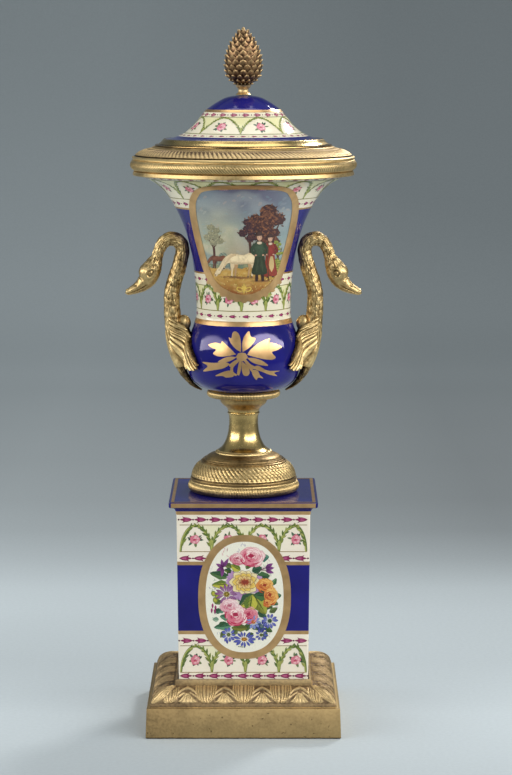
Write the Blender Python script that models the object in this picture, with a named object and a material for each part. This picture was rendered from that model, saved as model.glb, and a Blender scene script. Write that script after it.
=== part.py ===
"""A covered porcelain cassolette in gilt-bronze mounts, on a square porcelain pedestal.

Metres, +Z up, front towards -Y. The origin is the middle of the underside. Every
turned piece is centred on the Z axis, and the square pieces have their faces along X and Y.
"""

from math import cos, hypot, pi, radians, sin, sqrt

import bmesh
import bpy
from mathutils import Vector

MM = 0.001
GAP = 0.3 * MM  # clearance between two pieces that touch

# Resolution of the facets.
TURN_STEPS = 28
NECK_SIDES = 10

# Gilt-bronze base, square.
BASE_HALF = 67.1 * MM
BASE_TOP_HALF = 66.3 * MM
PLINTH_HEIGHT = 21.1 * MM
FILLET_HALF = 63.8 * MM
FILLET_HEIGHT = 2.4 * MM
LEAF_TOP_HALF = 47.3 * MM
LEAF_TOP_Z = 33.0 * MM
LIP_HALF = 47.0 * MM
LIP_TOP_Z = 36.8 * MM
BASE_WALL = 3.0 * MM
LEAF_RELIEF = 1.5 * MM
LEAF_COLUMN = 0.12  # width of one facet column, as a share of the half side
LEAF_ROWS = 5

# Porcelain pedestal, square and hollow, open below.
SEAT_Z = 33.8 * MM
SHAFT_FOOT_HALF = 44.8 * MM
SHAFT_TOP_HALF = 46.0 * MM
SHAFT_TOP_Z = 152.7 * MM
NECKING_HALF = 46.5 * MM
NECKING_TOP_Z = 154.9 * MM
SLAB_HALF = 51.1 * MM
SLAB_TOP_Z = 161.7 * MM
FASCIA_HEIGHT = 3.6 * MM
PEDESTAL_WALL = 5.0 * MM
CORNER_CHAMFER = 0.8 * MM

# Gilt-bronze foot, turned.
FOOT_R = 39.1 * MM
FOOT_TOP_Z = 228.0 * MM
FOOT_BORE_R = 6.5 * MM
STEM_R = 10.2 * MM

# Bronze collar under the bulb.
COLLAR_R = 25.7 * MM
COLLAR_HALF_HEIGHT = 2.6 * MM

# Porcelain vase, a bulb under a flaring neck.
VASE_WALL = 3.5 * MM
BULB_R = 39.6 * MM
BULB_WIDEST_Z = 255.0 * MM
SHOULDER_Z = 284.4 * MM
NECK_R = 32.8 * MM
RIM_R = 72.0 * MM
RIM_TOP_Z = 394.2 * MM

# Bronze rim mount, lid ring and lid.
MOUNT_R = 78.5 * MM
MOUNT_TOP_Z = 403.2 * MM
MOUNT_MOUTH_R = 57.5 * MM
RING_R = 61.2 * MM
LID_R = 54.3 * MM
LID_SEAT_Z = 405.2 * MM
LID_TOP_Z = 438.0 * MM
LID_WALL = 3.2 * MM

# Pinecone finial.
CONE_R = 13.9 * MM
CONE_FOOT_Z = 444.6 * MM
TIP_Z = 484.6 * MM
CONE_ROWS = 12
CONE_COLUMNS = 16
SCALE_RELIEF = 0.9 * MM

GILT_BRONZE = ("gilt_bronze", (0.55, 0.36, 0.13), 0.3, 1.0)
PORCELAIN = ("porcelain", (0.022, 0.018, 0.235), 0.12, 0.0)


# ---------------------------------------------------------------- outlines


def scaled(*points):
    """Points given in millimetres, as metres."""
    return [tuple(value * MM for value in point) for point in points]


def smooth(points, steps):
    """A Catmull-Rom curve through the points, with that many steps in each span."""
    points = [Vector(p) for p in points]
    ends = [2 * points[0] - points[1], *points, 2 * points[-1] - points[-2]]
    found = []
    for a, b, c, d in zip(ends, ends[1:], ends[2:], ends[3:]):
        for k in range(steps):
            t = k / steps
            bend = 2 * a - 5 * b + 4 * c - d
            twist = 3 * b - a - 3 * c + d
            found.append(tuple(0.5 * (2 * b + (c - a) * t + bend * t * t + twist * t**3)))
    found.append(tuple(points[-1]))
    return found


def arc(centre, radius, start, end, steps):
    """Points on a circle in the outline's plane, angles in degrees from +R towards +Z."""
    angles = [radians(start + (end - start) * k / steps) for k in range(steps + 1)]
    return [(centre[0] + radius * cos(a), centre[1] + radius * sin(a)) for a in angles]


def inset(points, wall):
    """An outline moved inwards by the wall, for one that runs top to bottom down its outside."""
    found = []
    for k, (r, z) in enumerate(points):
        before = points[max(k - 1, 0)]
        after = points[min(k + 1, len(points) - 1)]
        dr, dz = after[0] - before[0], after[1] - before[1]
        length = hypot(dr, dz)
        found.append((max(r + wall * dz / length, 0.0), z - wall * dr / length))
    return found


# ---------------------------------------------------------------- meshes


def material(name, colour, roughness, metallic):
    """The material of that name, made once."""
    if name in bpy.data.materials:
        return bpy.data.materials[name]
    made = bpy.data.materials.new(name)
    made.use_nodes = True
    shader = made.node_tree.nodes["Principled BSDF"]
    shader.inputs["Base Color"].default_value = (*colour, 1)
    shader.inputs["Roughness"].default_value = roughness
    shader.inputs["Metallic"].default_value = metallic
    return made


def finished(name, bm, finish, sharp_angle=35):
    """Turns a bmesh into an object with outward faces, smooth shading and its material."""
    bmesh.ops.recalc_face_normals(bm, faces=bm.faces)
    mesh = bpy.data.meshes.new(name)
    bm.to_mesh(mesh)
    bm.free()
    mesh.shade_smooth()
    mesh.set_sharp_from_angle(angle=radians(sharp_angle))
    mesh.materials.append(material(*finish))
    piece = bpy.data.objects.new(name, mesh)
    bpy.context.scene.collection.objects.link(piece)
    return piece


def bridge(bm, lower, upper):
    """Faces between two rings. A ring of one point closes to a fan."""
    count = max(len(lower), len(upper))
    for k in range(count):
        corners = []
        for vert in (
            lower[k % len(lower)],
            lower[(k + 1) % len(lower)],
            upper[(k + 1) % len(upper)],
            upper[k % len(upper)],
        ):
            if vert not in corners:
                corners.append(vert)
        if len(corners) > 2:
            bm.faces.new(corners)


def stacked(name, rings, finish, closed=False, **shading):
    """A skin over rings of points. Its ends are capped, or joined to each other if closed."""
    bm = bmesh.new()
    verts = [[bm.verts.new(point) for point in ring] for ring in rings]
    for lower, upper in zip(verts, verts[1:]):
        bridge(bm, lower, upper)
    if closed:
        bridge(bm, verts[-1], verts[0])
    else:
        for ring in (verts[0], verts[-1]):
            if len(ring) > 2:
                bm.faces.new(ring)
    return finished(name, bm, finish, **shading)


def circle(radius, z, steps=TURN_STEPS):
    if radius == 0:
        return [(0, 0, z)]
    return [
        (radius * cos(2 * pi * k / steps), radius * sin(2 * pi * k / steps), z)
        for k in range(steps)
    ]


def square(half, z, chamfer=CORNER_CHAMFER):
    """A square ring with its corners cut off."""
    if half == 0:
        return [(0, 0, z)]
    flat = half - chamfer
    corner = [(half, -flat), (half, flat), (flat, half), (-flat, half)]
    return [(x, y, z) for x, y in corner + [(-x, -y) for x, y in corner]]


def turned(name, outline, finish, closed=False):
    """A solid of revolution. The outline is a list of (radius, height)."""
    return stacked(name, [circle(r, z) for r, z in outline], finish, closed)


def joined(piece, *others):
    """Unites the other solids with the piece, and removes them."""
    for other in others:
        union = piece.modifiers.new(other.name, "BOOLEAN")
        union.operation = "UNION"
        union.object = other
    bpy.context.view_layer.update()
    graph = bpy.context.evaluated_depsgraph_get()
    mesh = bpy.data.meshes.new_from_object(piece.evaluated_get(graph))
    piece.modifiers.clear()
    piece.data = mesh
    mesh.shade_smooth()
    mesh.set_sharp_from_angle(angle=radians(45))
    for other in others:
        bpy.data.objects.remove(other)
    return piece


# ---------------------------------------------------------------- base


def leaf_half(share):
    """Half side and height of the leaf moulding, from its foot (0) to its top (1)."""
    foot_z = PLINTH_HEIGHT + FILLET_HEIGHT
    turn = share * pi / 2
    half = LEAF_TOP_HALF + (FILLET_HALF - LEAF_TOP_HALF) * cos(turn) ** 1.25
    return half, foot_z + (LEAF_TOP_Z - foot_z) * sin(turn) ** 0.9


def leaf_rise(u, share):
    """How far the moulding stands out: tongues, palmettes between them, and corner leaves."""
    place = round(abs(u) / LEAF_COLUMN)
    body = sin(pi * min(max(share, 0), 1)) ** 0.6
    tongue = place in (0, 4)
    palmette = place in (2, 6)
    if tongue:
        return LEAF_RELIEF * body
    if palmette:
        return 0.6 * LEAF_RELIEF * body * (1 if share < 0.5 else 0.5)
    if place == 8:
        return 0.8 * LEAF_RELIEF * body
    return -0.5 * LEAF_RELIEF * body


def leaf_ring(row):
    """One ring of the leaf moulding, side by side round the square."""
    share = row / LEAF_ROWS
    half, z = leaf_half(share)
    count = round(1 / LEAF_COLUMN)
    columns = [k * LEAF_COLUMN for k in range(-count, count + 1)]
    points = []
    for side in range(4):
        turn = side * pi / 2
        row_points = [(-1, 0)] + [(u, leaf_rise(u, share)) for u in columns]
        for u, rise in row_points:
            along, out = u * half, half + 0.7 * rise
            x = out * cos(turn) - along * sin(turn)
            y = out * sin(turn) + along * cos(turn)
            points.append((x, y, z + 0.7 * rise))
    return points


def make_base():
    """A square hollow casting: plain plinth, leaf moulding, and a lip round the pedestal."""
    fillet_z = PLINTH_HEIGHT + 0.2 * MM
    ledge_half = SHAFT_FOOT_HALF - 6 * MM
    outer = [
        (BASE_HALF, 0),
        (BASE_TOP_HALF, PLINTH_HEIGHT),
        (FILLET_HALF, fillet_z),
    ]
    inner = [
        (LIP_HALF, LIP_TOP_Z),
        (SHAFT_FOOT_HALF + 2 * GAP, LIP_TOP_Z),
        (SHAFT_FOOT_HALF + 2 * GAP, SEAT_Z - GAP),
        (ledge_half, SEAT_Z - GAP),
        (ledge_half, SEAT_Z - GAP - BASE_WALL),
        (LEAF_TOP_HALF, SEAT_Z - 2 * BASE_WALL),
        (FILLET_HALF - 2 * BASE_WALL, PLINTH_HEIGHT - BASE_WALL),
        (BASE_HALF - BASE_WALL, 0),
    ]
    bm = bmesh.new()
    plain = [[bm.verts.new(p) for p in corners(half, z)] for half, z in outer]
    leaves = [[bm.verts.new(p) for p in leaf_ring(row)] for row in range(LEAF_ROWS + 1)]
    lip = [[bm.verts.new(p) for p in corners(half, z)] for half, z in inner]
    for lower, upper in zip(plain, plain[1:]):
        bridge(bm, lower, upper)
    for lower, upper in zip(leaves, leaves[1:]):
        bridge(bm, lower, upper)
    for lower, upper in zip(lip, lip[1:]):
        bridge(bm, lower, upper)
    bridge(bm, lip[-1], plain[0])
    per_side = len(leaves[0]) // 4
    for side in range(4):
        start, stop = side * per_side, (side + 1) * per_side
        after = (side + 1) % 4
        for fine, coarse in ((leaves[0], plain[-1]), (leaves[-1], lip[0])):
            edge = fine[start:stop] + [fine[stop % len(fine)]]
            bm.faces.new([coarse[side], *edge, coarse[after]])
    return finished("base", bm, GILT_BRONZE)


def corners(half, z):
    """A plain square ring that starts at +X, -Y, as the leaf rings do."""
    return [(half, -half, z), (half, half, z), (-half, half, z), (-half, -half, z)]


# ---------------------------------------------------------------- pedestal


def make_pedestal():
    """The square porcelain shaft with its slab, hollow and open underneath."""
    fascia_z = SLAB_TOP_Z - FASCIA_HEIGHT
    cove = arc((SLAB_HALF - 0.4 * MM, NECKING_TOP_Z), SLAB_HALF - NECKING_HALF, 180, 115, 4)
    outline = [
        (0, SLAB_TOP_Z),
        (SLAB_HALF - 0.3 * MM, SLAB_TOP_Z),
        (SLAB_HALF, SLAB_TOP_Z - 0.3 * MM),
        (SLAB_HALF - 0.2 * MM, fascia_z),
        *[(half, min(z, fascia_z - 0.2 * MM)) for half, z in reversed(cove[:-1])],
        (NECKING_HALF, SHAFT_TOP_Z),
        (SHAFT_TOP_HALF, SHAFT_TOP_Z - 0.2 * MM),
        (SHAFT_FOOT_HALF, SEAT_Z),
        (SHAFT_FOOT_HALF - PEDESTAL_WALL, SEAT_Z),
        (SHAFT_TOP_HALF - PEDESTAL_WALL, SLAB_TOP_Z - PEDESTAL_WALL),
        (0, SLAB_TOP_Z - PEDESTAL_WALL),
    ]
    return stacked("pedestal", [square(half, z) for half, z in outline], PORCELAIN)


# ---------------------------------------------------------------- foot and collar


def make_foot():
    """The turned foot: torus, domed band, milled step, stem and cup, bored right through."""
    floor_z = SLAB_TOP_Z + GAP
    torus = arc((FOOT_R - 3.8 * MM, floor_z + 3.8 * MM), 3.8 * MM, -90, 80, 4)
    dome = scaled((36.9, 172.6), (36.0, 176.6), (33.5, 180.6), (30.0, 183.2))
    step = scaled((28.2, 184.2), (26.2, 186.0), (20.6, 188.9))
    stem = [
        *scaled((17.2, 190.6), (13.0, 195.6), (11.1, 201.0)),
        (STEM_R, 208 * MM),
        (STEM_R, 214.6 * MM),
    ]
    cup = scaled((11.9, 216.4), (11.9, 218.2), (11.2, 219.4), (14.2, 222.4), (16.5, 225.6))
    bore = [
        (FOOT_BORE_R, 199 * MM),
        (26 * MM, 181 * MM),
        (33 * MM, floor_z),
    ]
    outline = [
        *torus,
        (36.6 * MM, 170.4 * MM),
        *dome,
        *step,
        *stem,
        *cup,
        (16.5 * MM, FOOT_TOP_Z),
        (FOOT_BORE_R, FOOT_TOP_Z),
        *bore,
    ]
    return turned("foot", outline, GILT_BRONZE, closed=True)


def make_collar():
    """A disc with a rounded edge between the foot and the bulb."""
    middle = FOOT_TOP_Z + GAP + COLLAR_HALF_HEIGHT
    edge_r = COLLAR_R - COLLAR_HALF_HEIGHT
    edge = arc((edge_r, middle), COLLAR_HALF_HEIGHT, -90, 90, 4)
    outline = [(0, edge[0][1]), *edge, (0, edge[-1][1])]
    return turned("collar", outline, GILT_BRONZE)


# ---------------------------------------------------------------- vase and its mounts


def neck_outline():
    """The flaring neck, from under the rim down to the shoulder."""
    return [
        (RIM_R, 383.6 * MM),
        *scaled((66.2, 380.9), (60.3, 377.8), (55.2, 372.8), (50.4, 366.3)),
        *scaled((45.2, 356.6), (39.6, 342.6), (35.8, 326.4), (33.7, 310.4)),
        (NECK_R, 296 * MM),
        (NECK_R, 287.4 * MM),
    ]


def bulb_outline():
    """The bulb, from the shoulder down to the collar."""
    return [
        (NECK_R + 0.4 * MM, SHOULDER_Z),
        *scaled((36.4, 274.6), (38.8, 265.0)),
        (BULB_R, BULB_WIDEST_Z),
        *scaled((38.9, 247.5), (36.9, 241.8), (33.2, 238.0), (29.0, 235.3), (24.6, 233.9)),
    ]


def bulb_radius(z):
    """The bulb's outer radius at a height."""
    outline = bulb_outline()
    for (r_high, z_high), (r_low, z_low) in zip(outline, outline[1:]):
        if z_low <= z <= z_high:
            return r_low + (r_high - r_low) * (z - z_low) / (z_high - z_low)
    return outline[0][0] if z > outline[0][1] else outline[-1][0]


def make_vase():
    """The hollow porcelain vase. Its rim stands inside the bronze mount."""
    outside = [(RIM_R, RIM_TOP_Z), *neck_outline(), *bulb_outline()]
    floor_z = outside[-1][1]
    wall = [(RIM_R, RIM_TOP_Z), *neck_outline()[::2], *bulb_outline()[1:8:2]]
    inside = inset(wall, VASE_WALL)
    inside[0] = (RIM_R - VASE_WALL, RIM_TOP_Z)
    outline = [
        (0, floor_z + 1.2 * VASE_WALL),
        (0.5 * BULB_R, floor_z + 1.3 * VASE_WALL),
        *reversed(inside),
        *outside,
        (0, floor_z),
    ]
    return turned("vase", outline, PORCELAIN)


def make_rim_mount():
    """The bronze rim: lower fillet, rope torus, double fillet, sloping chased band, mouth."""
    bore = RIM_R + GAP
    foot_z = 383.3 * MM
    torus = arc((MOUNT_R - 4.0 * MM, 390.4 * MM), 4.0 * MM, -62, 72, 4)
    band = scaled((74.4, 397.4), (70.2, 400.5), (63.6, 402.3))
    outline = [
        (bore, foot_z),
        (76.3 * MM, foot_z),
        *torus,
        (75.6 * MM, 396.8 * MM),
        *band,
        (62.4 * MM, MOUNT_TOP_Z),
        (MOUNT_MOUTH_R, MOUNT_TOP_Z),
        (MOUNT_MOUTH_R, MOUNT_TOP_Z - 3 * MM),
        (RIM_R - VASE_WALL, RIM_TOP_Z + GAP),
        (bore, RIM_TOP_Z + GAP),
    ]
    return turned("rim_mount", outline, GILT_BRONZE, closed=True)


def make_lid_ring():
    """The bronze ring that holds the lid's foot and rests on the rim mount."""
    seat_z = LID_SEAT_Z - GAP
    floor_z = MOUNT_TOP_Z + GAP
    outline = [
        (50.5 * MM, floor_z),
        (RING_R, floor_z),
        (RING_R, 404.3 * MM),
        *scaled((58.0, 405.0), (56.9, 406.6), (55.8, 408.3)),
        (LID_R + GAP, 408.3 * MM),
        (LID_R + GAP, seat_z),
        (50.5 * MM, seat_z),
    ]
    return turned("lid_ring", outline, GILT_BRONZE, closed=True)


def make_lid():
    """The hollow porcelain lid: a domed cap over a bell-shaped flare."""
    cap = scaled((6.0, 438.0), (12.4, 436.4), (18.2, 433.2), (23.0, 430.0), (27.0, 426.8))
    flare = scaled((30.0, 423.0), (33.9, 418.3), (38.2, 414.3), (43.4, 410.9), (49.0, 408.9))
    outside = [*cap, *flare, (LID_R, 408.1 * MM), (LID_R, LID_SEAT_Z)]
    inside = inset(outside[:-2:2], LID_WALL)
    outline = [
        (0, LID_TOP_Z),
        *outside,
        (47.8 * MM, LID_SEAT_Z),
        *reversed(inside),
        (0, LID_TOP_Z - LID_WALL),
    ]
    return turned("lid", outline, PORCELAIN)


# ---------------------------------------------------------------- finial


def cone_radius(share):
    """The pinecone's radius from its foot (0) to its tip (1): an egg, widest low down."""
    return CONE_R * sin(pi * share**0.62) ** 0.72


def make_finial():
    """A pinecone with staggered scales on a small spool."""
    spool = scaled((5.9, 438.3), (5.7, 439.2), (4.4, 440.6), (4.0, 442.6), (4.6, 444.2))
    rings = [circle(0, spool[0][1])] + [circle(r, z, CONE_COLUMNS) for r, z in spool]
    for row in range(1, CONE_ROWS):
        share = row / CONE_ROWS
        z = CONE_FOOT_Z + (TIP_Z - CONE_FOOT_Z) * share
        radius = cone_radius(share)
        relief = SCALE_RELIEF * min(1, radius / (0.5 * CONE_R))
        ring = []
        for k in range(CONE_COLUMNS):
            # Two rows make one scale, and each next pair of rows is shifted by half a scale.
            stands_out = (k + row // 2) % 2 == 0
            r = radius + (relief if stands_out else -relief) * (0.6 if row % 2 else 1)
            angle = 2 * pi * k / CONE_COLUMNS
            ring.append((r * cos(angle), r * sin(angle), z))
        rings.append(ring)
    rings.append(circle(0, TIP_Z))
    return stacked("finial", rings, GILT_BRONZE)


# ---------------------------------------------------------------- swan-neck handles

# The neck's centre line from the tail under the bulb to the tip of the bill, for the handle
# on +X: distance from the axis, height, half thickness, and half width across.
SWAN_LINE = scaled(
    (29.6, 232.9, 0.8, 1.4),
    (35.2, 236.6, 1.2, 3.8),
    (40.2, 241.4, 1.6, 5.6),
    (43.4, 247.4, 2.4, 7.0),
    (45.9, 254.6, 3.5, 7.4),
    (47.6, 263.0, 4.9, 7.0),
    (48.6, 272.0, 5.7, 6.3),
    (49.2, 281.0, 6.0, 6.0),
    (49.9, 292.0, 5.7, 5.7),
    (49.9, 301.0, 5.5, 5.5),
    (48.1, 309.4, 5.4, 5.4),
    (45.6, 317.0, 5.2, 5.2),
    (43.7, 324.6, 5.0, 5.0),
    (43.2, 331.2, 4.9, 4.9),
    (45.6, 336.6, 5.0, 5.0),
    (50.4, 338.8, 5.0, 5.0),
    (55.0, 336.8, 4.7, 4.7),
    (58.2, 331.6, 4.5, 4.5),
    (60.6, 325.4, 4.7, 4.7),
    (63.2, 319.6, 5.8, 5.6),
    (66.2, 314.6, 6.2, 6.0),
    (69.6, 310.2, 4.6, 4.9),
    (73.4, 306.4, 3.0, 4.0),
    (78.0, 302.9, 2.3, 3.4),
    (82.0, 300.1, 1.3, 2.0),
)
LOBE_HALF = 7.2 * MM
LOBE_SCALLOPS = 5
LOBE_COLUMNS = 6
LOBE_ROWS = 9


def swan_neck(name):
    """The neck, head, bill and tail as one lofted tube in the plane Y = 0."""
    line = smooth(SWAN_LINE, 1)
    rings = []
    for k, (x, z, thick, wide) in enumerate(line):
        before, after = line[max(k - 1, 0)], line[min(k + 1, len(line) - 1)]
        dx, dz = after[0] - before[0], after[1] - before[1]
        length = hypot(dx, dz)
        normal = (dz / length, -dx / length)
        ring = []
        for side in range(NECK_SIDES):
            angle = 2 * pi * side / NECK_SIDES
            out = thick * cos(angle)
            ring.append((x + normal[0] * out, wide * sin(angle), z + normal[1] * out))
        rings.append(ring)
    return stacked(name, rings, GILT_BRONZE)


def lobe_middle(share):
    """The middle line of a side lobe on the bulb: length round it from +X, and height."""
    return radians(6 + 29 * share**1.8) * BULB_R, (280.0 - 28.6 * share) * MM


def lobe_point(share, across):
    """A point of the side lobe, as angle and height; across runs from edge (-1) to edge (1)."""
    around, z = lobe_middle(share)
    ahead, z_ahead = lobe_middle(share + 0.01)
    step, drop = ahead - around, z - z_ahead
    length = hypot(step, drop)
    half = LOBE_HALF * (0.62 + 0.38 * min(share / 0.45, 1)) * sqrt(max(1 - share**7, 0.06))
    if across > 0:
        half *= 1 + 0.09 * cos(2 * pi * LOBE_SCALLOPS * share)
    around += drop / length * across * half
    return around / BULB_R, z + step / length * across * half


def side_lobe(name, towards):
    """One lobe of the acanthus leaf, lying round the bulb to the front (-1) or back (+1)."""
    rings = []
    for row in range(LOBE_ROWS + 1):
        share = row / LOBE_ROWS
        rise = (6.2 - 3.4 * share) * MM
        under, over = [], []
        for column in range(LOBE_COLUMNS + 1):
            across = 2 * column / LOBE_COLUMNS - 1
            angle, z = lobe_point(share, across)
            angle *= towards
            floor_r = bulb_radius(z) + 0.5 * MM
            crown_r = floor_r + 1.0 * MM + rise * (1 - across**2) ** 0.7
            under.append((floor_r * cos(angle), floor_r * sin(angle), z))
            over.append((crown_r * cos(angle), crown_r * sin(angle), z))
        rings.append(under + over[::-1])
    return stacked(name, rings, GILT_BRONZE)


def lug(name):
    """The short block by which the casting meets the vase's shoulder."""
    rings = []
    for x, size in scaled((35.8, 450), (37.4, 950), (46.5, 950)):
        ring = []
        for k in range(8):
            angle = 2 * pi * k / 8
            ring.append((x, 4.6 * MM * size * cos(angle), (281.6 + 5.2 * size * sin(angle)) * MM))
        rings.append(ring)
    return stacked(name, rings, GILT_BRONZE)


def make_handle(name, mirrored):
    """A swan's neck rising from an acanthus leaf that clasps the bulb."""
    handle = swan_neck(name)
    joined(handle, side_lobe("front_lobe", -1), side_lobe("back_lobe", 1), lug("lug"))
    if mirrored:
        bm = bmesh.new()
        bm.from_mesh(handle.data)
        bmesh.ops.scale(bm, vec=(-1, 1, 1), verts=bm.verts)
        bmesh.ops.reverse_faces(bm, faces=bm.faces)
        bm.to_mesh(handle.data)
        bm.free()
    return handle


# ---------------------------------------------------------------- the whole object


def main():
    for old in list(bpy.data.objects):
        bpy.data.objects.remove(old)
    make_base()
    make_pedestal()
    make_foot()
    make_collar()
    make_vase()
    make_rim_mount()
    make_lid_ring()
    make_lid()
    make_finial()
    make_handle("handle_right", mirrored=False)
    make_handle("handle_left", mirrored=True)


main()
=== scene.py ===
"""The looks of a porcelain cassolette in gilt-bronze mounts, built round its CAD frame.

Helper shapes are in millimetres in the row frame: +Z up, front towards -Y. They become
metres when a piece is made. The bronze is modelled as relief, and the painting on the
porcelain as thin enamel that lies on the glaze.
"""

from math import atan2, cos, degrees, hypot, pi, radians, sin

import bpy
import numpy as np
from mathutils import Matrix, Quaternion, Vector


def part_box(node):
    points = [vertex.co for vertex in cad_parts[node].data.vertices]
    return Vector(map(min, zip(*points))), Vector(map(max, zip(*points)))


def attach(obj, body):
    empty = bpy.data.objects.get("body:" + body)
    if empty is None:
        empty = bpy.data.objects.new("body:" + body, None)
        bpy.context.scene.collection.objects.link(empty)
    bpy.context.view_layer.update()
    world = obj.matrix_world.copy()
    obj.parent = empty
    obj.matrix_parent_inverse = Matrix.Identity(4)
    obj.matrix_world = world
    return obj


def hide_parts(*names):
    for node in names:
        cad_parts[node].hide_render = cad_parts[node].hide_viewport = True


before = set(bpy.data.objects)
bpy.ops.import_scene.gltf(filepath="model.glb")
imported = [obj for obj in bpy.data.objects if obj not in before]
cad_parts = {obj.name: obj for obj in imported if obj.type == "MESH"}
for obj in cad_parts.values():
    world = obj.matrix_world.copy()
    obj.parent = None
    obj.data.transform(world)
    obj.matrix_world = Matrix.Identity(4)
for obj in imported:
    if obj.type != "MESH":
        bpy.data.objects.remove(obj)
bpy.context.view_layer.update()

MM = 0.001
TURN = 2 * pi


def mm_box(node):
    """The CAD node's lowest and highest corner in millimetres."""
    low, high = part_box(node)
    return np.array(low) / MM, np.array(high) / MM


# ---------------------------------------------------------------- numbers and outlines


def curve(points, steps):
    """A Catmull-Rom curve through the points, with that many steps in each span."""
    points = np.array(points, float)
    ends = np.vstack([2 * points[0] - points[1], points, 2 * points[-1] - points[-2]])
    a, b, c, d = ends[:-3], ends[1:-2], ends[2:-1], ends[3:]
    found = []
    for t in np.arange(steps) / steps:
        bend = 2 * a - 5 * b + 4 * c - d
        twist = 3 * b - a - 3 * c + d
        found.append(0.5 * (2 * b + (c - a) * t + bend * t**2 + twist * t**3))
    return np.vstack([np.stack(found, 1).reshape(-1, points.shape[1]), points[-1]])


def arc(centre, radius, start, end, steps):
    """Points on a circle in the outline's plane, angles in degrees from +R towards +Z."""
    angles = np.radians(np.linspace(start, end, steps + 1))
    return np.stack([centre[0] + radius * np.cos(angles), centre[1] + radius * np.sin(angles)], 1)


def chain(*parts):
    """One outline from several runs of points."""
    return np.vstack([np.array(part, float).reshape(-1, 2) for part in parts])


def fraction(x):
    return x - np.floor(x)


def rib(x):
    """A row of round ribs, one to each whole number: 0 in the grooves and 1 on the crests."""
    return np.sqrt(np.clip(1 - (2 * fraction(x) - 1) ** 2, 0, 1))


def bump(x):
    """A soft hill: 1 at 0, and 0 from 1 on."""
    return np.clip(1 - np.asarray(x, float) ** 2, 0, 1) ** 2


def ease(x, low, high):
    """Goes from 0 to 1 as x goes from low to high."""
    t = np.clip((x - low) / (high - low), 0, 1)
    return t * t * (3 - 2 * t)


def clouds(u, v, seed):
    """Smooth random values from 0 to 1 over the plane, with features about one unit across."""
    table = np.random.default_rng(seed).random((64, 64))
    i, j = np.floor(u).astype(int), np.floor(v).astype(int)
    a, b = ease(u - i, 0, 1), ease(v - j, 0, 1)
    low = table[i % 64, j % 64] * (1 - a) + table[(i + 1) % 64, j % 64] * a
    high = table[i % 64, (j + 1) % 64] * (1 - a) + table[(i + 1) % 64, (j + 1) % 64] * a
    return low * (1 - b) + high * b


def lengths(outline):
    """The length along an outline at each of its points."""
    steps = np.hypot(*np.diff(outline, axis=0).T)
    return np.concatenate([[0], np.cumsum(steps)])


def outward(outline):
    """Unit normals of an outline, to the right of the way it runs."""
    ahead = np.gradient(outline[:, 0]), np.gradient(outline[:, 1])
    size = np.maximum(np.hypot(*ahead), 1e-9)
    return np.stack([ahead[1] / size, -ahead[0] / size], 1)


# ---------------------------------------------------------------- skins


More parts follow.
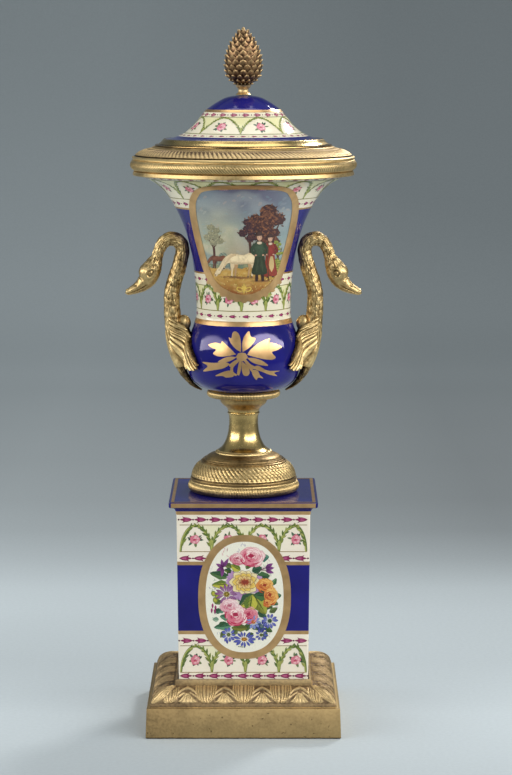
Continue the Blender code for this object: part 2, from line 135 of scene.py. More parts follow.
class Skin:
    """The surface of one piece, gathered part by part."""

    def __init__(self):
        self.points, self.tones, self.normals = [], [], []
        self.faces, self.slots = [], []
        self.count = 0

    def add(self, points, faces, tone=1.0, slot=0, normals=None):
        """Adds points and faces. The tone is one number or colour, or one for each point."""
        points = np.asarray(points, float).reshape(-1, 3)
        tone = np.asarray(tone, float)
        if tone.ndim == 0 or (tone.ndim == 1 and tone.size != len(points)):
            tone = np.broadcast_to(tone, (len(points), 3))
        elif tone.ndim == 1:
            tone = np.repeat(tone[:, None], 3, 1)
        self.points.append(points)
        self.tones.append(tone.reshape(len(points), 3))
        self.normals.append(np.zeros_like(points) if normals is None else normals)
        self.faces.append(np.asarray(faces, int) + self.count)
        self.slots.append(np.full(len(faces), slot))
        self.count += len(points)

    def sheet(self, rows, tone=1.0, slot=0, around=False, closed=False, normals=None):
        """Adds a skin over rows of points, an array (rows, columns, 3)."""
        rows = np.asarray(rows, float)
        n, m = rows.shape[:2]
        index = np.arange(n * m).reshape(n, m)
        if around:
            index = np.hstack([index, index[:, :1]])
        if closed:
            index = np.vstack([index, index[:1]])
        low, high = index[:-1], index[1:]
        corners = [low[:, :-1], low[:, 1:], high[:, 1:], high[:, :-1]]
        faces = np.stack(corners, -1).reshape(-1, 4)
        tone = np.asarray(tone, float)
        if tone.ndim == 2:
            tone = np.broadcast_to(tone, (n, m)).ravel()
        elif tone.ndim == 3:
            tone = tone.reshape(-1, 3)
        if normals is not None:
            normals = normals.reshape(-1, 3)
        self.add(rows.reshape(-1, 3), faces, tone, slot, normals)

    def shell(self, front, back, tone, outside):
        """Adds a thick leaf: its front, its back and the walls between their edges, with the back and walls
        darkened as painted shade.
        """
        across, up = front[1:-1, 2:] - front[1:-1, :-2], front[2:, 1:-1] - front[:-2, 1:-1]
        if np.sum(np.cross(across, up) * outside[1:-1, 1:-1]) < 0:
            front, back, tone = front[:, ::-1], back[:, ::-1], tone[:, ::-1]
        self.sheet(front, tone)
        # Painted shade: the back is nearly black and the walls take 0.4 of the front's tone.
        self.sheet(back[:, ::-1], 0.1 + 0 * tone)
        for edge in (np.s_[0, ::-1], np.s_[-1, :], np.s_[:, 0], np.s_[::-1, -1]):
            self.sheet(np.stack([front[edge], back[edge]]), np.stack([tone[edge], 0.4 * tone[edge]]))

    def mesh(self, name, sharp):
        """Makes the mesh, smooth but for edges over that many degrees, or with its own normals."""
        mesh = bpy.data.meshes.new(name)
        points = np.vstack(self.points) * MM
        mesh.vertices.add(len(points))
        mesh.vertices.foreach_set("co", points.ravel())
        sizes = np.concatenate([np.full(len(f), f.shape[1]) for f in self.faces])
        corners = np.concatenate([f.ravel() for f in self.faces])
        mesh.loops.add(len(corners))
        mesh.loops.foreach_set("vertex_index", corners)
        mesh.polygons.add(len(sizes))
        mesh.polygons.foreach_set("loop_start", np.concatenate([[0], np.cumsum(sizes)[:-1]]))
        mesh.polygons.foreach_set("material_index", np.concatenate(self.slots))
        tone = mesh.attributes.new("tone", "FLOAT_COLOR", "POINT")
        colours = np.hstack([np.vstack(self.tones), np.ones((len(points), 1))])
        tone.data.foreach_set("color", colours.ravel())
        mesh.update(calc_edges=True)
        mesh.validate()
        mesh.shade_smooth()
        normals = np.vstack(self.normals)
        if sharp is None and np.any(normals):
            mesh.normals_split_custom_set_from_vertices(normals)
        elif sharp:
            mesh.set_sharp_from_angle(angle=radians(sharp))
        return mesh

    def piece(self, name, finishes, nodes=(), sharp=38):
        """Makes the object. It rides on the one body, and stands for the CAD nodes named."""
        made = bpy.data.objects.new(name, self.mesh(name, sharp))
        bpy.context.scene.collection.objects.link(made)
        for finish in finishes:
            made.data.materials.append(finish)
        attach(made, "root")
        if nodes:
            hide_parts(*nodes)
        return made


def fitted(outline, cad_node):
    """The outline moved and scaled so that it fills the CAD node's box exactly."""
    low, high = mm_box(cad_node)
    outline = np.array(outline, float)
    bottom, top = outline[:, 1].min(), outline[:, 1].max()
    outline[:, 0] *= high[0] / outline[:, 0].max()
    outline[:, 1] = low[2] + (outline[:, 1] - bottom) * (high[2] - low[2]) / (top - bottom)
    return outline


def turned_rows(outline, columns):
    """Rows of points round the axis, one for each place on an outline of radii and heights."""
    phi = np.arange(columns) * TURN / columns
    return [np.stack([r * np.cos(phi), r * np.sin(phi), z + 0 * phi], -1) for r, z in outline]


def turned_casting(name, cad_node, bands):
    """A lathe-turned bronze. Its outline runs up the outside, cut into bands.

    Each band has its part of the outline, its look, its columns and its finish. The look is
    a tone for a plain band, or a relief: a function of the place up the band and round it.
    """
    skin = Skin()
    finishes = list(dict.fromkeys(finish for *_, finish in bands))
    outline = fitted(np.vstack([part for part, *_ in bands]), cad_node)
    normals = outward(outline)
    start = 0
    for part, look, columns, finish in bands:
        rows = slice(start, start + len(part) + 1)
        start += len(part)
        line, normal = outline[rows], normals[rows]
        phi = np.arange(columns) * TURN / columns
        rise, tone = np.zeros((len(line), columns)), np.ones((len(line), columns))
        if callable(look):
            along = lengths(line)
            relief, shade = look(along[:, None] / along[-1], phi[None, :])
            rise, tone = rise + relief, tone * shade
        else:
            tone = tone * look
        r = line[:, :1] + rise * normal[:, :1]
        z = line[:, 1:] + rise * normal[:, 1:]
        points = np.stack([r * np.cos(phi), r * np.sin(phi), z + 0 * phi], -1)
        skin.sheet(points, tone, finishes.index(finish), around=True)
    return skin.piece(name, finishes, [cad_node])


# ---------------------------------------------------------------- materials


def node(tree, kind, inputs=None, **settings):
    """A shader node. Each input is a value or another node's output."""
    made = tree.nodes.new(kind)
    for key, value in settings.items():
        setattr(made, key, value)
    for key, value in (inputs or {}).items():
        if isinstance(value, bpy.types.NodeSocket):
            tree.links.new(value, made.inputs[key])
        else:
            made.inputs[key].default_value = value
    return made


def ramp(tree, factor, *stops):
    """A colour ramp. Each stop is a place and a colour."""
    made = node(tree, "ShaderNodeValToRGB", {"Fac": factor})
    elements = made.color_ramp.elements
    while len(elements) < len(stops):
        elements.new(0.5)
    for element, (place, colour) in zip(elements, stops):
        element.position = place
        element.color = (*colour, 1)
    return made.outputs["Color"]


def mixed(tree, factor, first, second, blend="MIX"):
    """A mix of two colours. A plain colour is a tuple."""
    made = tree.nodes.new("ShaderNodeMix")
    made.data_type, made.blend_type = "RGBA", blend
    for index, value in ((0, factor), (6, first), (7, second)):
        socket = made.inputs[index]
        if isinstance(value, bpy.types.NodeSocket):
            tree.links.new(value, socket)
        else:
            socket.default_value = (*value, 1) if isinstance(value, tuple) else value
    return made.outputs[2]


def ranged(tree, value, low, high, source=(0, 1)):
    """The value moved from its own range to another."""
    limits = {"From Min": source[0], "From Max": source[1], "To Min": low, "To Max": high}
    made = node(tree, "ShaderNodeMapRange", {"Value": value, **limits})
    return made.outputs["Result"]


def noise(tree, size, detail=3.0, lift=0.0):
    """Noise whose features are about that many millimetres across. The lift picks another one."""
    place = node(tree, "ShaderNodeTexCoord").outputs["Object"]
    inputs = {"Vector": place, "Scale": (1 / (size * MM),) * 3, "Location": (lift,) * 3}
    moved = node(tree, "ShaderNodeMapping", inputs).outputs[0]
    return node(tree, "ShaderNodeTexNoise", {"Scale": 1.0, "Detail": detail, "Vector": moved}).outputs["Fac"]


def begin(name, **sockets):
    """A material with a Principled shader, and its tree."""
    made = bpy.data.materials.new(name)
    made.use_nodes = True
    shader = made.node_tree.nodes["Principled BSDF"]
    for key, value in sockets.items():
        shader.inputs[key.replace("_", " ")].default_value = value
    return made, made.node_tree, shader


def combined(tree, first, second, operation="ADD"):
    """The sum of two values, or another operation on them."""
    return node(tree, "ShaderNodeMath", {0: first, 1: second}, operation=operation).outputs[0]


def raised(tree, shader, height, strength, distance):
    """Gives the shader a bump of a height, that many millimetres deep."""
    inputs = {"Strength": strength, "Distance": distance * MM, "Height": height}
    tree.links.new(node(tree, "ShaderNodeBump", inputs).outputs["Normal"], shader.inputs["Normal"])


def painted_tone(tree):
    """The tone that each point of the mesh carries."""
    return node(tree, "ShaderNodeAttribute", attribute_name="tone").outputs["Color"]


def bronze(name, tones, rough, stain, grain=0.02, fleck=0.10, pits=0.0):
    """Gilt bronze. The tone attribute is 0 in the deepest recess and 1 on the crests."""
    made, tree, shader = begin(name, Metallic=1.0, IOR=1.5)
    depth = painted_tone(tree)
    cloud = noise(tree, 14, 4)
    speck = noise(tree, 1.6, 3, lift=7)
    worn = combined(tree, depth, ranged(tree, cloud, -0.5 * stain, 0.5 * stain, (0.3, 0.7)))
    height = combined(tree, worn, ranged(tree, speck, -fleck, fleck, (0.35, 0.65)))
    colour = ramp(tree, height, *zip((0.0, 0.45, 0.95), tones))
    if pits:
        hole = ranged(tree, noise(tree, 2.6, 1, lift=9), 0, pits, (0.73, 0.765))
        colour = mixed(tree, hole, colour, tones[0])
    tree.links.new(colour, shader.inputs["Base Color"])
    dull = ranged(tree, combined(tree, speck, cloud, "MULTIPLY"), *rough, (0.15, 0.38))
    tree.links.new(dull, shader.inputs["Roughness"])
    raised(tree, shader, combined(tree, speck, noise(tree, 5.0, 3, lift=3)), 0.5, grain)
    return made


def glaze(name, colours=None, rough=(0.06, 0.16), cloud_size=18, metal=0.0, grain=0.012, shine=0.5,
          gleam=(1, 1, 1)):
    """Glazed porcelain. Its colour is a pair to mottle between, or the enamel's own tone."""
    looks = {"Metallic": metal, "Specular_IOR_Level": shine, "Specular_Tint": (*gleam, 1)}
    made, tree, shader = begin(name, IOR=1.45, **looks)
    cloud = noise(tree, cloud_size, 4)
    fine = noise(tree, 0.9, 3, lift=5)
    if colours:
        colour = mixed(tree, ranged(tree, cloud, 0, 1, (0.3, 0.7)), *colours)
    else:
        shade = ranged(tree, fine, 0.0, 0.22, (0.3, 0.7))
        tone = painted_tone(tree)
        colour = mixed(tree, shade, tone, mixed(tree, 1.0, tone, (0.62, 0.60, 0.58), "MULTIPLY"))
    tree.links.new(colour, shader.inputs["Base Color"])
    tree.links.new(ranged(tree, fine, *rough, (0.3, 0.7)), shader.inputs["Roughness"])
    raised(tree, shader, noise(tree, 6, 2, lift=2), 0.6, grain)
    return made


# The tones of each bronze: in the recesses, between, and on the crests.
GOLD_DARK = (0.050, 0.028, 0.012)
CHASED_TONES = GOLD_DARK, (0.38, 0.25, 0.10), (0.76, 0.56, 0.26)
SMOOTH_TONES = GOLD_DARK, (0.34, 0.216, 0.080), (0.58, 0.412, 0.160)
CONE_TONES = (0.08, 0.040, 0.022), (0.38, 0.235, 0.115), (0.74, 0.53, 0.255)
BASE_TONES = (0.09, 0.055, 0.036), (0.36, 0.25, 0.13), (0.70, 0.52, 0.26)
PLINTH_TONES = (0.12, 0.08, 0.04), (0.43, 0.29, 0.13), (0.58, 0.415, 0.19)

BRONZE = bronze("gilt_bronze_chased", CHASED_TONES, (0.34, 0.50), 0.25)
BRONZE_DARK = bronze("gilt_bronze_worn", CONE_TONES, (0.38, 0.52), 0.25)
BRONZE_SMOOTH = bronze("gilt_bronze_turned", SMOOTH_TONES, (0.21, 0.28), 0.16, grain=0.008, fleck=0.02)
BRONZE_BASE = bronze("gilt_bronze_base", BASE_TONES, (0.48, 0.62), 0.2)
BRONZE_PLINTH = bronze("gilt_bronze_plinth", PLINTH_TONES, (0.40, 0.54), 0.14, pits=0.7)

# The glazes' colours, in pairs to mottle between.
WHITES = (0.86, 0.785, 0.585), (0.80, 0.72, 0.53)
SHAFT_WHITES = (0.92, 0.83, 0.675), (0.86, 0.765, 0.61)
BLUES = (0.014, 0.013, 0.180), (0.008, 0.008, 0.124)
GOLDS = (0.74, 0.46, 0.21), (0.545, 0.325, 0.14)

WHITE = glaze("white_glaze", WHITES)
WHITE_SHAFT = glaze("white_glaze_shaft", SHAFT_WHITES)
COBALT = glaze("cobalt_glaze", BLUES, (0.04, 0.10), 24, shine=0.40, gleam=(0.86, 0.76, 1.0))
COBALT_SLAB = glaze("cobalt_glaze_worn", BLUES, (0.19, 0.21), 24, grain=0.002, gleam=(0.92, 0.88, 1.0))
GILDING = glaze("painted_gold", GOLDS, (0.30, 0.34), 8, metal=0.85, grain=0.006)
ENAMEL = glaze("painted_enamel", rough=(0.10, 0.22))


# ---------------------------------------------------------------- base


# The places and half widths of a leaf's ribs, as shares of its reach.
FINE_RIBS = (0.19, 0.17), (0.50, 0.12), (0.73, 0.10), (0.95, 0.11)
# From one leaf of the moulding to the next, and how far the corner leaf's field reaches.
MOTIF_PITCH, CORNER_FIELD = 12.85, 5.4


def fine_ribs(share):
    """Ribs on each side of a middle groove: a broad one, two narrower ones and the rim."""
    share = np.abs(share)
    return np.maximum.reduce([bump((share - at) / wide) for at, wide in FINE_RIBS])


def tongue(across, t):
    """A U-shaped tongue leaf with nested ribs, its point at the foot of the moulding."""
    reach = 7.2 * np.sqrt(np.clip(1 - (1 - np.clip(t / 0.95, 0, 1)) ** 2.6, 0, 1)) + 1e-6
    share = across / reach
    inside = ease(np.abs(share), 1.12, 1.0) * ease(t, 0.02, 0.06) * ease(t, 1.0, 0.96)
    return inside * (0.20 + 0.80 * fine_ribs(share))


def palmette(across, t):
    """Two drooping leaves with a bud on top, a smaller pair, and petals that spread below."""
    x = np.abs(across) / 6.8
    droop = bump((t - 0.84 + 0.34 * x**1.7) / 0.10) * ease(x, 1.1, 0.95)
    second = bump((t - 0.62 + 0.30 * x**1.6) / 0.07) * ease(x, 1.05, 0.9) * ease(x, 0.12, 0.3)
    down = np.clip((0.60 - t) / 0.56, 0, 1.2)
    spread = across / (1.0 + 6.2 * down**1.15)
    fan = rib(2.5 * spread + 0.5) * ease(np.abs(spread), 1.02, 0.94)
    fan = fan * ease(down + 0.12 * spread**2, 1.06, 0.98) * ease(down, 0.03, 0.15)
    bud = bump(np.hypot(across / 1.4, (t - 0.94) / 0.05))
    return np.maximum.reduce([0.9 * fan, droop, 0.8 * second, 0.8 * bud])


def corner_leaf(inward, t):
    """A long ribbed leaf along the mitre, pointed at both ends."""
    reach = 4.9 * np.clip(np.sin(pi * np.clip(t, 0.001, 0.999) ** 0.9), 0, 1) ** 0.6 + 0.2
    share = inward / reach
    return ease(share, 1.12, 1.0) * (0.30 + 0.70 * fine_ribs(share))


def moulding_relief(along, half, t):
    """The chased leaves of the base's moulding: 0 on the ground and 1 on the crests."""
    found = np.zeros(np.broadcast(along, t).shape)
    for place in range(-4, 5):
        across = along - place * MOTIF_PITCH
        motif = tongue(across, t) if place % 2 == 0 else palmette(across, t)
        found = np.maximum(found, motif)
    inward = (half - np.abs(along)) * 0.72
    return np.where(inward < CORNER_FIELD, corner_leaf(inward, t), found)


def square_ring(half, z, columns):
    """A square with its corners on the mitres, each side in that many steps."""
    share = np.linspace(-1, 1, columns + 1)[:-1]
    side = np.stack([np.full(columns, 1.0), share], 1)
    sides = [side]
    for _ in range(3):
        side = np.stack([-side[:, 1], side[:, 0]], 1)
        sides.append(side)
    ring = np.vstack(sides) * half
    return np.hstack([ring, np.full((len(ring), 1), z)])


def leaf_moulding(skin, slope, grown, tall, columns=240):
    """Skins the sloping moulding of leaves, worn bright on the crests, with painted shade darkening its left
    and right sides.
    """
    t = lengths(slope) / lengths(slope)[-1]
    share = np.tile(np.linspace(-1, 1, columns + 1)[:-1], 4)
    seen = (slope[:, 1] - slope[0, 1]) + 0.4 * (slope[0, 0] - slope[:, 0])
    rings, tones = [], []
    for (half, z), (out, up), place, shown in zip(slope, outward(slope), t, seen / seen[-1]):
        relief = moulding_relief(share * half, half, shown)
        rise = (0.86 * relief - 0.36) * ease(place, 0, 0.06) * ease(place, 1, 0.94)
        ring = square_ring(1.0, 0.0, columns)
        # Painted shade: the left and right sides of the moulding are darkened by half.
        painted_shade_at_side = ease(np.abs(ring[:, 0]) - np.abs(ring[:, 1]), 0.0, 0.04)
        ring[:, :2] *= ((half + rise * out) * grown)[:, None]
        ring[:, 2] = (z + rise * up) * tall
        rings.append(ring)
        mottle = clouds(share * half / 1.3, 0 * share + place * 9, 31) - 0.5
        worn = np.clip(0.30 + 0.78 * relief + 0.26 * mottle, 0, 1)
        tones.append(worn * (1 - 0.50 * painted_shade_at_side))
    skin.sheet(rings, np.array(tones), around=True)


# The base as drawn: half its width and its height.
DRAWN_HALF, DRAWN_TALL = 67.1, 36.8
# The places of the base's finishes.
BASE_LEAVES, BASE_PLAIN = range(2)


def make_base():
    """Plain plinth, fillet, moulding of leaves, and the lip round the pedestal."""
    high = mm_box("base")[1]
    grown, tall = high[0] / DRAWN_HALF, high[2] / DRAWN_TALL
    skin = Skin()
    plinth = [(64.1, 0), (66.2, 0), (67.1, 0.8), (67.08, 1.4), (66.45, 20.5), (66.1, 21.0), (65.3, 21.1)]
    # Painted shadow: the underside and the bottom chamfer are dark, as a contact shadow along the floor.
    plinth_tones_with_painted_shadow = np.array([0.05, 0.05, 0.10, 0.62, 0.62, 0.62, 0.62])[:, None]
    ledge = [(65.3, 21.1), (64.3, 21.15), (63.8, 21.1), (63.8, 21.5)]
    fillet = [(64.0, 21.6), (63.9, 23.3), (63.7, 23.7), (63.3, 23.9)]
    lip = [(47.9, 32.9), (47.35, 32.7), (47.1, 33.0), (47.0, 36.3), (46.7, 36.7), (45.7, 36.8)]
    inside = [(45.7, 36.8), (45.45, 36.5), (45.4, 33.5), (38.8, 33.5), (38.8, 30.5), (47.3, 27.0)]
    inside += [(57.8, 18.1), (64.1, 0)]
    for outline, tone, slot in (
        (plinth, plinth_tones_with_painted_shadow, BASE_PLAIN),
        (ledge, 1.0, BASE_LEAVES),
        (fillet, 0.38, BASE_LEAVES),
        (lip, 0.62, BASE_LEAVES),
        (inside, 0.3, BASE_LEAVES),
    ):
        rings = np.array([square_ring(half * grown, z * tall, 24) for half, z in outline])
        # Painted shade: the base darkens by up to a third towards its left side.
        painted_shade_left = 1 - 0.32 * ease(rings[..., 0], -22, -66)
        skin.sheet(rings, tone * painted_shade_left, slot, around=True)
    slope = curve([(63.3, 23.9), (61.5, 27.3), (58.0, 30.4), (53.2, 32.3), (47.9, 32.9)], 9)
    leaf_moulding(skin, slope, grown, tall)
    return skin.piece("base_casting", [BRONZE_BASE, BRONZE_PLINTH], ["base"])


# ---------------------------------------------------------------- foot and collar


def roping(count, slant, depth, floor):
    """Relief of slanting rope strands, fading out at both edges of the band.

    The floor is the tone in the grooves between the strands.
    """

    def relief(t, phi):
        edge = ease(t, 0, 0.12) * ease(t, 1, 0.88)
        strand = rib(phi * count / TURN + slant * t)
        return depth * (strand - 1) * edge, floor + (0.95 - floor) * (strand * edge + 1 - edge) ** 1.5

    return relief


def gadroons(t, phi):
    """Slanting leaf ribs with notched edges, round the foot's dome."""
    edge = ease(t, 0, 0.10) * ease(t, 0.96, 0.80)
    place = phi * 68 / TURN + 3.1 * t
    notch = 0.5 + 0.5 * np.cos(TURN * (t * 7 + fraction(place)))
    height = rib(place) * (0.70 + 0.30 * notch)
    return 0.95 * (height - 1) * edge, 0.28 + 0.72 * (height**1.3 * edge + 0.7 * (1 - edge))


def make_foot():
    """Rope torus, fillets, dome of gadroons, steps, milled band, stem and cup."""
    plain = 144
    steps = chain(
        (29.9, 182.7), (29.7, 183.0), (29.8, 183.5), (29.2, 183.9), (28.5, 183.7), (28.4, 184.1),
        (28.5, 184.6), (28.0, 185.0), (27.2, 184.9), (27.1, 185.2),
    )
    dome = curve([(36.8, 173.0), (36.4, 175.2), (35.2, 178.0), (33.2, 180.8), (30.8, 182.6)], 6)
    shoulder = curve([(26.6, 185.4), (25.2, 186.8), (23.2, 187.9), (20.9, 188.7)], 5)
    stem = [(18.1, 190.8), (15.3, 193.0), (13.4, 195.9), (11.9, 199.4), (10.8, 203.7), (10.25, 208.4)]
    cup = [(11.1, 219.0), (11.4, 220.0), (12.6, 221.4), (14.4, 222.7), (15.9, 224.4), (16.5, 226.2)]
    fillets = chain(
        (36.9, 169.7), (36.4, 170.0), (36.4, 170.5), (37.2, 170.7), (37.4, 171.2), (37.1, 171.8)
    )
    bands = [
        (chain((6.5, 199), (26, 181), (33, 162), (35.2, 162)), 0.3, plain, BRONZE),
        (arc((35.3, 165.8), 3.8, -80, 62, 15), roping(220, -1.1, 0.55, -0.2), 1100, BRONZE),
        (fillets, 0.45, plain, BRONZE),
        (chain((36.3, 172.0), (36.2, 172.5), (36.7, 172.8)), 0.10, plain, BRONZE),
        (dome, gadroons, 816, BRONZE),
        (steps, 0.30, plain, BRONZE),
        (shoulder, 0.35, plain, BRONZE),
        (chain((20.0, 189.0), (19.7, 189.8), (18.6, 190.2)), roping(170, -0.3, 0.30, 0.30), 850, BRONZE),
        (curve(stem, 6), 0.9, plain, BRONZE_SMOOTH),
        (curve([(10.15, 209.6), (10.2, 213.2), (10.5, 215.5)], 4), 0.85, plain, BRONZE_SMOOTH),
        (arc((10.5, 217.1), 0.8, -75, 75, 8), 0.85, plain, BRONZE_SMOOTH),
        (curve(cup, 4), 0.45, plain, BRONZE),
        (chain((16.5, 227.6), (16.2, 228.0), (6.5, 228.0), (6.5, 199)), 0.85, plain, BRONZE_SMOOTH),
    ]
    return turned_casting("foot_casting", "foot", bands)


def make_collar():
    """The disc under the bulb, with a milled round edge."""
    bands = [
        (chain((0.01, 228.3), (22.6, 228.3)), 0.1, 96, BRONZE),
        (arc((23.1, 230.9), 2.6, -80, 80, 14), roping(144, -0.6, 0.45, -0.3), 720, BRONZE),
        (chain((22.6, 233.5), (0.01, 233.5)), 0.2, 96, BRONZE),
    ]
    return turned_casting("collar_disc", "collar", bands)


# ---------------------------------------------------------------- rim mount, lid ring


def leaf_tips(t, phi):
    """The sloping band: a row of slanting leaf tips below fine slanting milling."""
    edge = ease(t, 0, 0.05) * ease(t, 1, 0.95)
    place = phi * 144 / TURN + 1.9 * t
    across = 2 * fraction(place) - 1
    tip = np.clip(1 - (across / np.clip(1.06 - (t / 0.74) ** 1.9, 0.02, 1)) ** 2, 0, 1) ** 0.5
    tip = tip * ease(t, 0.75, 0.66)
    milling = rib(phi * 260 / TURN + 2.6 * t) * ease(t, 0.72, 0.80)
    height = np.maximum(tip, 0.75 * milling)
    return 0.55 * (height - 1) * edge, 0.16 + 0.72 * (height * edge + 0.7 * (1 - edge))


def rim_rope(t, phi):
    """The rim's torus: slanting strands below and round its middle, smooth above."""
    rise, tone = roping(246, 3.0, 0.55, 0.04)(t, phi)
    fade = ease(t, 0.86, 0.70)
    return rise * fade, tone * fade + 0.78 * (1 - fade)


def make_rim_mount():
    """The bronze rim: fillet, rope torus, double bright fillet, sloping chased band, mouth."""
    plain = 256
    foot = chain(
        (72.3, 383.4), (72.5, 383.2), (76.2, 383.2), (76.7, 383.7), (76.2, 385.9), (75.6, 386.3)
    )
    fillets = chain(
        (77.2, 393.6), (76.3, 394.2), (76.2, 394.6), (77.0, 394.9), (77.2, 395.5), (76.8, 396.1)
    )
    slope = curve([(74.9, 397.4), (73.2, 398.9), (70.2, 400.4), (67.0, 401.5), (63.9, 402.2)], 6)
    mouth = chain(
        (63.3, 402.1), (63.1, 402.5), (62.6, 402.9), (61.6, 403.2), (58.0, 403.2), (57.5, 402.8)
    )
    bands = [
        (foot, 0.72, plain, BRONZE),
        (chain((75.2, 386.5), (75.9, 386.7)), 0.65, plain, BRONZE),
        (arc((74.7, 390.4), 3.8, -62, 44, 14), rim_rope, 1230, BRONZE),
        (fillets, 0.95, plain, BRONZE),
        (chain((75.9, 396.4), (74.8, 396.6), (74.6, 397.0), (75.0, 397.2)), 0.0, plain, BRONZE),
        (slope, leaf_tips, 1300, BRONZE_BASE),
        (mouth, 0.55, plain, BRONZE),
        (chain((57.5, 400.2), (68.5, 394.5), (72.3, 394.5), (72.3, 383.4)), 0.4, plain, BRONZE),
    ]
    return turned_casting("rim_casting", "rim_mount", bands)


def make_lid_ring():
    """A flat flange and a bright half-round ring round the lid's foot."""
    flange = chain((50.5, 403.5), (61.0, 403.5), (61.2, 403.7), (61.1, 404.2), (60.7, 404.4))
    ring = [(58.6, 404.9), (57.8, 405.5), (56.9, 406.3), (56.1, 407.2), (55.5, 407.9), (54.9, 408.3)]
    inside = chain((54.7, 408.3), (54.6, 408.0), (54.6, 404.9), (50.5, 404.9), (50.5, 403.5))
    groove = chain((59.0, 404.5), (58.7, 404.6))
    parts = (flange, 0.35), (groove, 0.25), (curve(ring, 4), 0.95), (inside, 0.5)
    bands = [(part, tone, 224, BRONZE_SMOOTH) for part, tone in parts]
    return turned_casting("lid_ring_casting", "lid_ring", bands)


# ---------------------------------------------------------------- porcelain bodies

NEAR = 1e-4

# The places of the glazes on a porcelain piece.
WHITE_ZONE, COBALT_ZONE, GOLD_ZONE, SLAB_ZONE = range(4)


class Profile:
    """The glazed outside of a turned porcelain piece, for its skin and for the painting on it."""

    def __init__(self, line):
        self.line = line
        self.length = lengths(line)
        self.normal = outward(line)

    def along(self, z):
        """The length along the outline at a height. The outline rises all the way."""
        return np.interp(z, self.line[:, 1], self.length)

    def at(self, length):
        """Radius, height and normal at a length along the outline."""
        values = (*self.line.T, *self.normal.T)
        return [np.interp(length, self.length, value) for value in values]

    def cut(self, *marks):
        """The profile with extra points at these heights, so that zones end sharply."""
        line = self.line
        for z in marks:
            k = int(np.searchsorted(line[:, 1], z))
            if 0 < k < len(line) and abs(line[:, 1] - z).min() > NEAR:
                line = np.insert(line, k, (np.interp(z, line[:, 1], line[:, 0]), z), axis=0)
        return Profile(line)


def zoned_lathe(skin, profile, zones, columns):
    """Skins the profile, one zone after the other, each with its own glaze."""
    bottom = -np.inf
    for top, slot in zones:
        z = profile.line[:, 1]
        rows = profile.line[(z >= bottom - NEAR / 10) & (z <= top + NEAR / 10)]
        bottom = top
        if len(rows) > 1:
            skin.sheet(turned_rows(rows, columns), 1.0, slot, around=True)


VASE_BULB = [
    (24.6, 233.9), (29.0, 235.3), (33.4, 238.1), (36.9, 241.9), (38.9, 247.5), (39.6, 255.0),
    (39.3, 261.5), (38.2, 268.0), (36.4, 274.6), (34.6, 280.2), (33.2, 284.4),
]
VASE_NECK = [
    (33.1, 284.5), (32.8, 287.4), (32.9, 296.0), (33.3, 306.0), (34.5, 317.5), (36.2, 329.0),
    (38.7, 339.6), (41.7, 348.6), (45.2, 356.7), (48.7, 363.6), (52.4, 369.2), (56.6, 374.2),
    (61.0, 377.9), (66.5, 380.9), (72.0, 383.5),
]
BULB_TOP, GOLD_TOP = 281.1, 284.4
LOWER_LINE, UPPER_LINE = 316.8, 361.4
HALF_LINE = 0.6
VASE_ZONES = [
    (BULB_TOP, COBALT_ZONE),
    (GOLD_TOP, GOLD_ZONE),
    (LOWER_LINE - HALF_LINE, WHITE_ZONE),
    (LOWER_LINE + HALF_LINE, GOLD_ZONE),
    (UPPER_LINE - HALF_LINE, COBALT_ZONE),
    (UPPER_LINE + HALF_LINE, GOLD_ZONE),
    (400.0, WHITE_ZONE),
]
VASE_PROFILE = Profile(chain(curve(VASE_BULB, 6)[:-1], curve(VASE_NECK, 6)))
VASE_PROFILE = VASE_PROFILE.cut(*[top for top, _ in VASE_ZONES])


def make_vase():
    """The porcelain bulb and flaring neck, in cobalt, white and gold grounds."""
    skin = Skin()
    zoned_lathe(skin, VASE_PROFILE, VASE_ZONES, 160)
    low, high = mm_box("vase")
    rim = [(72.0, 383.5), (72.0, high[2]), (68.5, high[2]), (68.3, 388.0)]
    inside = [
        (68.3, 388.0), (66.0, 385.2), (59.6, 381.0), (53.2, 376.0), (48.4, 370.4), (42.2, 357.8),
        (36.0, 341.0), (32.0, 325.0), (29.9, 308.0), (29.4, 292.0), (29.9, 284.0), (33.0, 273.4),
        (35.6, 262.6), (36.1, 255.0), (35.3, 248.0), (32.4, 241.8), (26.0, 238.6), (14.0, 238.1),
        (0.01, 238.1),
    ]
    under = [(0.01, low[2]), (24.6, low[2])]
    for outline in (rim, curve(inside, 3), under):
        skin.sheet(turned_rows(outline, 96), around=True)
    return skin.piece("vase_porcelain", [WHITE, COBALT, GILDING], ["vase"])


LID_LINE = [
    (54.3, 405.2), (54.3, 406.8), (54.2, 408.1), (53.0, 408.3), (49.0, 408.95), (46.0, 409.8),
    (43.4, 410.9), (40.4, 412.6), (37.7, 414.7), (33.9, 418.3), (29.9, 423.1), (27.0, 426.9),
    (25.0, 428.8), (22.9, 430.3), (19.8, 432.4), (16.6, 434.3), (12.6, 436.3), (8.0, 437.5),
    (3.0, 437.95), (0.01, 438.0),
]
LID_ZONES = [(410.2, COBALT_ZONE), (426.75, WHITE_ZONE), (428.5, GOLD_ZONE), (438.1, COBALT_ZONE)]
LID_PROFILE = Profile(curve(LID_LINE, 6)).cut(*[top for top, _ in LID_ZONES])


def make_lid():
    """The bell-shaped lid: cobalt cap, gilt line, white flare and cobalt foot."""
    skin = Skin()
    zoned_lathe(skin, LID_PROFILE, LID_ZONES, 128)
    inside = [
        (0.01, 434.8), (8, 434.4), (14.8, 431.9), (20.4, 428.2), (24.4, 424.4), (31.2, 415.6),
        (36.2, 411.2), (42.5, 407.4), (47.8, 405.2),
    ]
    for outline in (curve(inside, 3), [(47.8, 405.2), (54.3, 405.2)]):
        skin.sheet(turned_rows(outline, 96), around=True)
    return skin.piece("lid_porcelain", [WHITE, COBALT, GILDING], ["lid"])


PEDESTAL_FOOT, PEDESTAL_TOP = (44.8, 33.8), (46.0, 152.7)
PEDESTAL_BANDS = (68.4, 70.9, 117.2, 119.7)
SLAB_HALF, SLAB_TOP = mm_box("pedestal")[1][0], 161.7
PEDESTAL_GROWN = SLAB_HALF / 51.1


